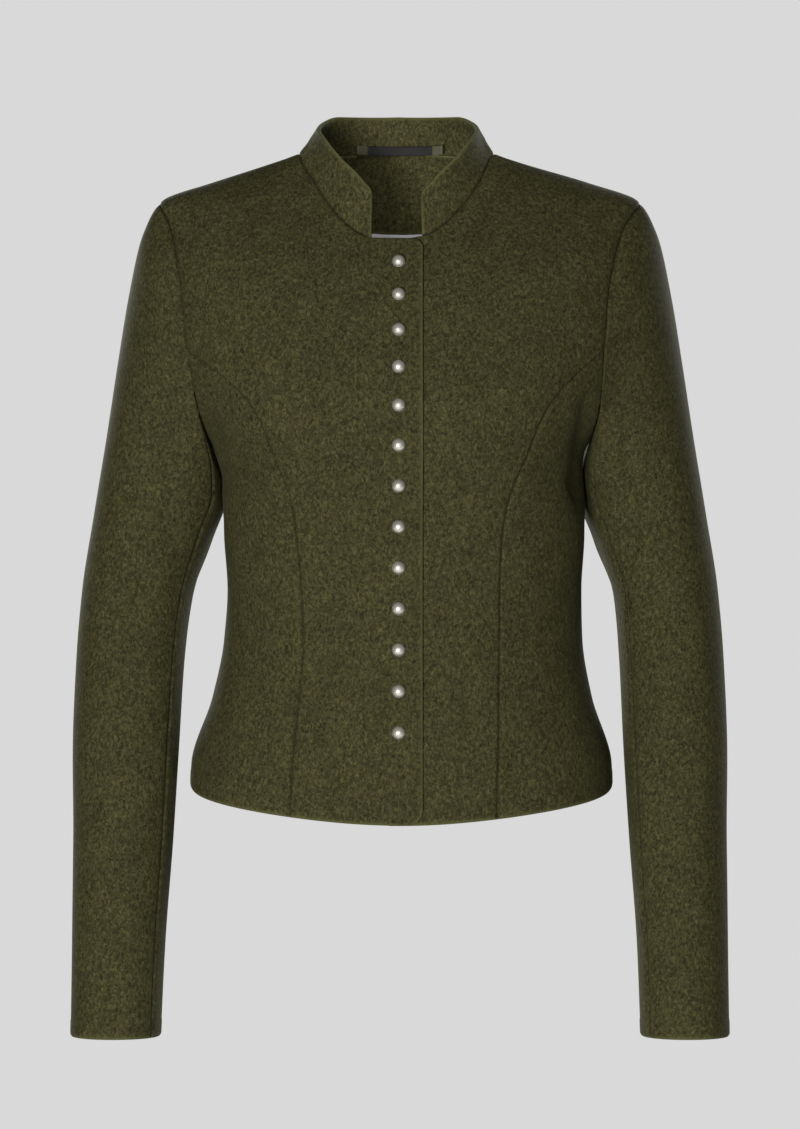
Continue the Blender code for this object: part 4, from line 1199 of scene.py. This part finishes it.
# %% Make the fronts, backs and sides
def body_panel(node, side, turned):
    """One panel, with its folds, which fade out at the armhole and where the fronts lap."""
    grid = GRIDS[node]
    points = torso(grid[..., 0], grid[..., 1])
    ways = torso_way(grid[..., 0], grid[..., 1])
    middle = (ARM_TOP + ARM_BOTTOM) / 2
    turn = np.arccos(np.clip((points[..., 2] - middle) / (ARM_TOP - middle), -1, 1))
    turn = np.where(points[..., 1] < 0, turn, math.tau - turn)
    arm_ways = sleeve_way(side, turn, 0 * turn)
    ways, near = at_armhole(side, points, ways, turn, arm_ways)
    lift = fold_depths(points, ways, FOLDS) * (1 - near)
    if node.startswith("front_") and "side" not in node:
        laps = soft_step((LAP_FADE - np.abs(points[..., 0])) / LAP_FOLDS)
        lift = lift * (1 - laps) + lap(side, points)
    lift = lift - SHOULDER_ROUND * near * soft_step(np.cos(turn))
    grooved = 1 - ARM_SHALLOW * near
    cloth(f"cloth_{node}", drawn_in(points), ways, LODEN, turned, lift=lift, grooved=grooved)


for side, word in ((RIGHT, "right"), (LEFT, "left")):
    inner, outer, opening = front_lines(side)
    free = (places(inner, outer) < opening).astype(float)[:, None]
    body_panel(f"front_{word}", side, {"bottom": 1, "start": free})
    for node in (f"front_side_{word}", f"back_side_{word}", f"back_{word}"):
        body_panel(node, side, {"bottom": 1})
print({name: count for name, (_, count) in BUILT.items()})

# %% [markdown]
# ## The sleeves
#
# A tailored sleeve is cut in two: a wide top sleeve and a narrow under sleeve that hides
# against the body. Their two seams run from the armhole to the cuff, one where the arm meets
# the chest and one behind. The cap is cut a little longer than the armhole and eased in, so
# the cloth stands proud of the seam.

# %% Make the four sleeve pieces
CAP_EASE, CAP_AT = 0.0007, 0.0105
CAP_FROM = 0.5  # the ease fades out where the cosine of the armhole's turn falls below this
FOLDS_FROM = 0.12  # no folds in this first share of the sleeve's length
# The sleeve's two seams, in armhole steps past the princess seam and past the side seam.
UNDER_SLEEVE_STEPS = (2, 4)
TOP_STEPS = 2  # the front edge's top corner and the step from it to the collar
DOWN_SAMPLES, ROUND_SAMPLES = 600, 400  # points that lengths are measured through


def arm_steps():
    """The armhole's steps all the way round, and how many there are in front."""
    front = CHEST_STEPS + NECK_STEPS + TOP_STEPS
    back = CHEST_STEPS + NECK_STEPS
    back_start = math.tau - BACK_SEAM_TURN
    stretches = (
        np.linspace(0, FRONT_SEAM_TURN, front + 1)[:-1],
        np.linspace(FRONT_SEAM_TURN, math.pi, SIDE_STEPS + 1)[:-1],
        np.linspace(math.pi, back_start, SIDE_STEPS + 1)[:-1],
        np.linspace(back_start, math.tau, back + 1)[:-1],
    )
    return np.concatenate(stretches), front


def sleeve_piece(name, side, first_turn, last_turn):
    """A sleeve piece between two turns of the armhole."""
    middle = (first_turn + last_turn) / 2
    shares = np.linspace(0, 1, DOWN_SAMPLES)
    down = run_of(sleeve_tube(side, middle, shares))
    along = np.interp(spaced(down[-1]) * down[-1], down, shares)
    turns = np.linspace(first_turn, last_turn, ROUND_SAMPLES)
    round_it = run_of(sleeve_tube(side, turns, 0.5))
    turn = np.interp(spaced(round_it[-1]) * round_it[-1], round_it, turns)
    turn, along = np.meshgrid(turn, along)
    points = sleeve_tube(side, turn, along)
    ways = sleeve_way(side, turn, along)
    ways, near = at_armhole(side, points, ways, turn, torso_way(*armhole(side, turn)))
    lift = fold_depths(points, ways, ARM_FOLDS) * soft_step(along / FOLDS_FROM)
    d = border_distances(points)["bottom"] / CAP_AT
    lift = lift + CAP_EASE * d**2 * np.exp(1 - d**2) * soft_step(CAP_FROM + np.cos(turn))
    lift = lift - CAP_ROUND * near * soft_step(np.cos(turn))
    grooved = 1 - ARM_SHALLOW * near
    cloth(name, drawn_in(points), ways, LODEN, {"top": 1}, lift=lift, grooved=grooved)


for side, word in ((RIGHT, "right"), (LEFT, "left")):
    turns, front_count = arm_steps()
    first = turns[front_count + UNDER_SLEEVE_STEPS[0]]
    last = turns[front_count + SIDE_STEPS + UNDER_SLEEVE_STEPS[1]]
    sleeve_piece(f"cloth_under_sleeve_{word}", side, first, last)
    sleeve_piece(f"cloth_top_sleeve_{word}", side, last - math.tau, first)
print({name: count for name, (_, count) in BUILT.items() if "sleeve" in name})

# %% [markdown]
# ## Collar
#
# The stand collar is two layers of loden, so it is stiffer and thicker than the panels. Its
# foot follows the neckline and its upper edge leans in towards the neck, low at the front
# and high behind. A ruled surface joins the two, with its front corners rounded off.

# %% Make the stand collar
COLLAR_CLOTH = 0.0028
CORNER_ROUND = 0.0050
COLLAR_TUCK = 0.0016  # its foot runs this far down inside the seam
COLLAR_SHIFT = -0.0016  # the collar's upper edge leans this far to the right
COLLAR_SAMPLES = 2400  # points that its length is measured through
# The collar's upper edge, by its angle round the neck from the front: its distance from
# the neck's axis, and its height.
COLLAR_TOP = table(
    "angle  reach   height",
    (0, 0.0635, -0.0390),
    (19, 0.0635, -0.0286),
    (33, 0.0635, -0.0140),
    (45, 0.0635, -0.0040),
    (58, 0.0635, 0.0070),
    (72, 0.0635, 0.0165),
    (90, 0.0635, 0.0245),
    (108, 0.0630, 0.0315),
    (128, 0.0610, 0.0365),
    (180, 0.0545, 0.0378),
)


def collar_lines(steps):
    """The collar's foot on the neckline and its upper edge, from the right end round the
    back to the left end."""
    right, left = COLLAR_END[RIGHT], COLLAR_END[LEFT]
    foot = np.linspace(right, left - math.tau, steps + 1)
    low = torso(foot, np.where(foot < -math.pi, neck(LEFT, foot), neck(RIGHT, foot)))
    reach = COLLAR_TOP["reach"][1]
    first = math.asin((COLLAR_END_RIGHT - COLLAR_SHIFT) / reach)
    last = math.asin((COLLAR_END_LEFT - COLLAR_SHIFT) / reach) - math.tau
    head = first + (last - first) * (foot - foot[0]) / (foot[-1] - foot[0])
    turn = np.degrees(np.abs((head + math.pi) % math.tau - math.pi))
    reach = smooth(turn, COLLAR_TOP["angle"], COLLAR_TOP["reach"])
    height = smooth(turn, COLLAR_TOP["angle"], COLLAR_TOP["height"])
    high = np.stack([COLLAR_SHIFT + reach * np.sin(head), -reach * np.cos(head), height], -1)
    return low, high


low, high = collar_lines(COLLAR_SAMPLES)
run = run_of((low + high) / 2)
counted = np.arange(len(run))
at = np.interp(spaced(run[-1]) * run[-1], run, counted)
low, high = (np.stack([np.interp(at, counted, column) for column in line.T], 1) for line in (low, high))
end = np.minimum(at / at[-1], 1 - at / at[-1]) * run[-1]
tall = np.linalg.norm(high - low, axis=1)
cut = CORNER_ROUND * (1 - np.sqrt(1 - np.clip(1 - end / CORNER_ROUND, 0, 1) ** 2))
high = low + (high - low) * (1 - cut / tall)[:, None]
up = spaced(float(tall.mean()))[:, None, None]
low = low - unit(high - low) * COLLAR_TUCK
points = low * (1 - up) + high * up
ways = unit(np.cross(np.gradient(points, axis=0), np.gradient(points, axis=1)))
ends = {"top": 1, "start": 1, "end": 1}
cloth("cloth_stand_collar", drawn_in(points), ways, LODEN, ends, COLLAR_CLOTH)
behind = float(tall[len(tall) // 2])
print("collar:", round(float(run[-1]), 3), "m long,", round(behind * 1000), "mm high behind")

# %% [markdown]
# ## What shows inside the neck
#
# Looking down past the throat one sees the back of the neck from within: a facing of the
# jacket's own cloth, the pale satin lining below it, and a hanger tape sewn on at its ends.
# They lie just inside the back, so they are made from the back's own points, moved in.

# %% Make the facing, the lining and the tape
FACING_DEPTH, LINING_DEPTH, SEAM_GAP, BACKING_GAP = 0.0630, 0.0600, 0.0003, 0.0022
FACING_CLOTH, LINING_CLOTH, TAPE_CLOTH = 0.0012, 0.0010, 0.0010
FACING_TURN, LINING_TURN = math.radians(68), math.radians(42)  # half their widths round the neck
FACING_TOP = -0.0015  # it laps this far over the collar's seam
BACKING_BEND = 0.5  # how squarely their edges turn towards the shoulders
TAPE_TURN, TAPE_END_TURN = math.radians(29.5), math.radians(11)
TAPE_WIDTH, TAPE_MIDDLE, TAPE_REACH = 0.0074, 0.0098, 0.0525
TAPE_STEP, TAPE_FEWEST = 0.02, 8  # radians between its columns, and the least number of them
LINING_RIPPLE = 0.0004
RIPPLE_ROUND, RIPPLE_UP = 37, 60  # the sine's phase for each radian round and each metre up
BACKING_SAMPLES = 90


def backing(name, half, low, high, thickness, finish, ripple=0.0):
    """A piece inside the back, between two depths below the neckline, which draw in towards
    the shoulders as the square root of the cosine. A ripple is a slow sine across it."""
    angle = np.linspace(math.pi - half, math.pi + half, BACKING_SAMPLES)
    draw = np.abs(np.cos(angle)) ** BACKING_BEND
    top, foot = neck(LEFT, angle) - high * draw, neck(LEFT, angle) - low * draw
    share = spaced(low - high)[:, None]
    height = foot * (1 - share) + top * share
    angle = np.broadcast_to(angle, height.shape)
    ways = torso_way(angle, height)
    points = torso(angle, height) - ways * (CLOTH + BACKING_GAP)
    lift = ripple * np.sin(angle * RIPPLE_ROUND + height * RIPPLE_UP)
    cloth(name, points, ways, finish, {"top": 1, "bottom": 1}, thickness, lift=lift)


def tape(name, start, end, finish):
    """A stretch of tape along the back of the neck, a band of a cylinder."""
    count = max(TAPE_FEWEST, round(abs(end - start) / TAPE_STEP))
    angle = np.linspace(start, end, count)[None, :]
    height = TAPE_MIDDLE + (spaced(TAPE_WIDTH)[:, None] - 0.5) * TAPE_WIDTH + 0 * angle
    out = np.stack([np.sin(angle) + 0 * height, -np.cos(angle) + 0 * height, 0 * height], -1)
    points = out * TAPE_REACH + np.array([0, 0, 1]) * height[..., None]
    every = {"top": 1, "bottom": 1, "start": 1, "end": 1}
    cloth(name, points, out, finish, every, TAPE_CLOTH)


backing("cloth_neck_facing", FACING_TURN, FACING_DEPTH, FACING_TOP, FACING_CLOTH, LODEN)
lining_top = FACING_DEPTH + SEAM_GAP
lining_foot = lining_top + LINING_DEPTH
backing("cloth_lining", LINING_TURN, lining_foot, lining_top, LINING_CLOTH, SATIN, LINING_RIPPLE)
tape("cloth_tape", math.pi - TAPE_TURN, math.pi + TAPE_TURN, TWILL)
for word, sign in (("left", -1), ("right", 1)):
    near = math.pi + sign * (TAPE_TURN + SEAM_GAP / TAPE_REACH)
    far = near + sign * TAPE_END_TURN
    tape(f"cloth_tape_end_{word}", min(near, far), max(near, far), TAPE_FOLD)
print({name: count for name, (_, count) in BUILT.items() if "sleeve" not in name})

# %% [markdown]
# ## Buttons
#
# Thirteen small domed buttons run down the right front, a little closer together at the top.
# Each is a turned shape: a rounded dome, a fine groove, and a thin rolled rim that sits in the
# nap. The profile is a list of radii and heights, joined by straight lines that the smooth
# shading rounds, and turned round the button's axis as one array.

# %% Turn a button
BUTTON_RADIUS = 0.0053
BUTTON_RISE = 0.0050
BUTTON_ROWS, BUTTON_COLUMNS = 45, 36
BUTTON_PROFILE = table(
    # share of the radius, share of the rise, and how dark the finish has stayed
    "radius  rise   dark",
    (0.000, 1.000, 0.00),
    (0.200, 0.985, 0.00),
    (0.400, 0.925, 0.00),
    (0.600, 0.810, 0.00),
    (0.760, 0.650, 0.04),
    (0.880, 0.450, 0.10),
    (0.950, 0.270, 0.25),
    (0.965, 0.150, 0.60),
    (0.985, 0.125, 0.35),
    (1.010, 0.080, 0.30),
    (1.010, 0.010, 0.70),
    (0.960, -0.080, 1.00),
    (0.000, -0.080, 1.00),
)


def turned_button(name, centre, way):
    """The profile's points swept round the way: centre + radius times a circle + rise times
    the way. The first and last rows are single points, so that both poles are closed."""
    rows = np.linspace(0, 1, BUTTON_ROWS)
    known = np.linspace(0, 1, len(BUTTON_PROFILE["radius"]))
    radius, rise, dark = (np.interp(rows, known, column) for column in BUTTON_PROFILE.values())
    side_way = unit(np.cross(way, (0, 0, 1)))
    up_way = np.cross(side_way, way)
    turn = np.linspace(0, math.tau, BUTTON_COLUMNS, endpoint=False)
    circle = np.cos(turn)[:, None] * side_way + np.sin(turn)[:, None] * up_way
    lifted = (rise[1:-1, None] * BUTTON_RISE * way)[:, None]
    body = radius[1:-1, None, None] * BUTTON_RADIUS * circle + lifted
    ends = np.array([way * rise[0], way * rise[-1]]) * BUTTON_RISE
    points = np.concatenate([body.reshape(-1, 3), ends]) + centre
    rows, columns = body.shape[:2]
    number = np.arange(rows * columns).reshape(rows, columns)
    after = np.roll(number, -1, axis=1)
    sides = np.stack([number[:-1], after[:-1], after[1:], number[1:]], -1).reshape(-1, 4)
    crown, foot = np.full(columns, rows * columns), np.full(columns, rows * columns + 1)
    caps = np.stack([[crown, after[0], number[0]], [foot, number[-1], after[-1]]])
    caps = caps.transpose(0, 2, 1).reshape(-1, 3)
    mesh = bpy.data.meshes.new(name)
    mesh.from_pydata(points.tolist(), [], sides[:, ::-1].tolist() + caps[:, ::-1].tolist())
    rim = mesh.attributes.new("rim", "FLOAT", "POINT")
    rim.data.foreach_set("value", np.append(np.repeat(dark[1:-1], columns), [0, 1]).astype(np.float32))
    mesh.shade_smooth()
    mesh.materials.append(SILVER)
    made = bpy.data.objects.new(name, mesh)
    bpy.context.scene.collection.objects.link(made)
    BUILT[name] = (made, 2 * len(sides) + len(caps))


print("a button is", round(BUTTON_RADIUS * 2000 * BUTTON_PROFILE["radius"].max(), 1), "mm across")

# %% [markdown]
# Each button takes its place from the form, on the line of the closed edge, and turns to face
# out of the cloth there, so the row follows the curve of the bust. The gap between two of
# them grows by a square down the first eight and is even from there to the hem.

# %% Sew the buttons on
BUTTON_COUNT = 13
BUTTON_LINE = -0.0010
BUTTON_TOP = -0.0882
BUTTON_PITCH = 0.0322
BUTTON_CLOSE_UP = 0.0058  # the top ones sit this much closer
BUTTON_EVEN_FROM = 8
BUTTON_SEAT = 0.0005  # the rim sits this far above the cloth

height = BUTTON_TOP
for number in range(BUTTON_COUNT):
    angle = front_angle(BUTTON_LINE, height)
    way = torso_way(angle, height)
    place = torso(angle, height)
    seat = place + way * (lap(RIGHT, place) + BUTTON_SEAT)
    turned_button(f"turned_button_{number + 1:02d}", seat, way)
    early = max(0, BUTTON_EVEN_FROM - number) / BUTTON_EVEN_FROM
    height -= BUTTON_PITCH - BUTTON_CLOSE_UP * early**2
print("buttons:", BUTTON_COUNT, "triangles each:", BUILT["turned_button_01"][1])

# %% [markdown]
# ## Fix every piece to the frame
#
# Each piece rides on the jacket's one body and stands for the solid it was made from, which
# is hidden. Each piece of cloth also states how large it was cut, measured on the form before
# the folds and rolled edges were added: the width and length of what it was cut from, and its
# area. The tape is woven to its width rather than cut, so it states no cut.

# %% Ride, replace, and state each cut
STANDS_FOR = {
    "cloth_neck_facing": "back_neck_facing",
    "cloth_lining": "back_lining",
    "cloth_tape": "hanger_tape",
}
HANGS_FROM = {
    "cloth_front_right": ["cloth_stand_collar", "cloth_back_right"],
    "cloth_front_left": ["cloth_stand_collar", "cloth_back_left"],
    "cloth_stand_collar": ["cloth_back_right", "cloth_back_left"],
    "cloth_neck_facing": ["cloth_back_right", "cloth_back_left"],
    "cloth_lining": ["cloth_neck_facing"],
}


def cut_of(piece):
    """Width, length and area of the outer face before it was folded, in metres."""
    mesh = piece.data
    uv = np.empty(len(mesh.loops) * 2, np.float32)
    mesh.uv_layers["cloth"].data.foreach_get("uv", uv)
    uv = uv.reshape(-1, 2)
    return float(np.ptp(uv[:, 0])), float(np.ptp(uv[:, 1])), UNFOLDED[piece.name]


CUTS = {}
for name, (piece, _) in BUILT.items():
    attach(piece, "root")
    node = STANDS_FOR.get(name, name.replace("cloth_", "").replace("turned_", ""))
    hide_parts(node)
    if name.startswith("turned_") or "tape" in name:
        continue
    width, length, area = cut_of(piece)
    CUTS[name] = (round(width, 3), round(length, 3), round(area, 4))
    word = "right" if "right" in name else "left"
    hung = HANGS_FROM.get(name, [f"cloth_front_{word}", f"cloth_back_{word}"])
    hung = [other for other in hung if other != name]
    area = min(area, width * length)
print(json.dumps(CUTS))
print("triangles in all:", sum(count for _, count in BUILT.values()))

# %% [markdown]
# ## Compare the size
#
# The visual model has to stay in the room the solids take up, so its box is set against the
# solids' box and the largest difference is printed.

# %% Compare the two boxes
made_box = [list(corner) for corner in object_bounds()]
grown = 1000 * np.abs(np.array(made_box) - np.array(cad_box))
print("boxes differ by at most", round(float(grown.max()), 2), "mm")
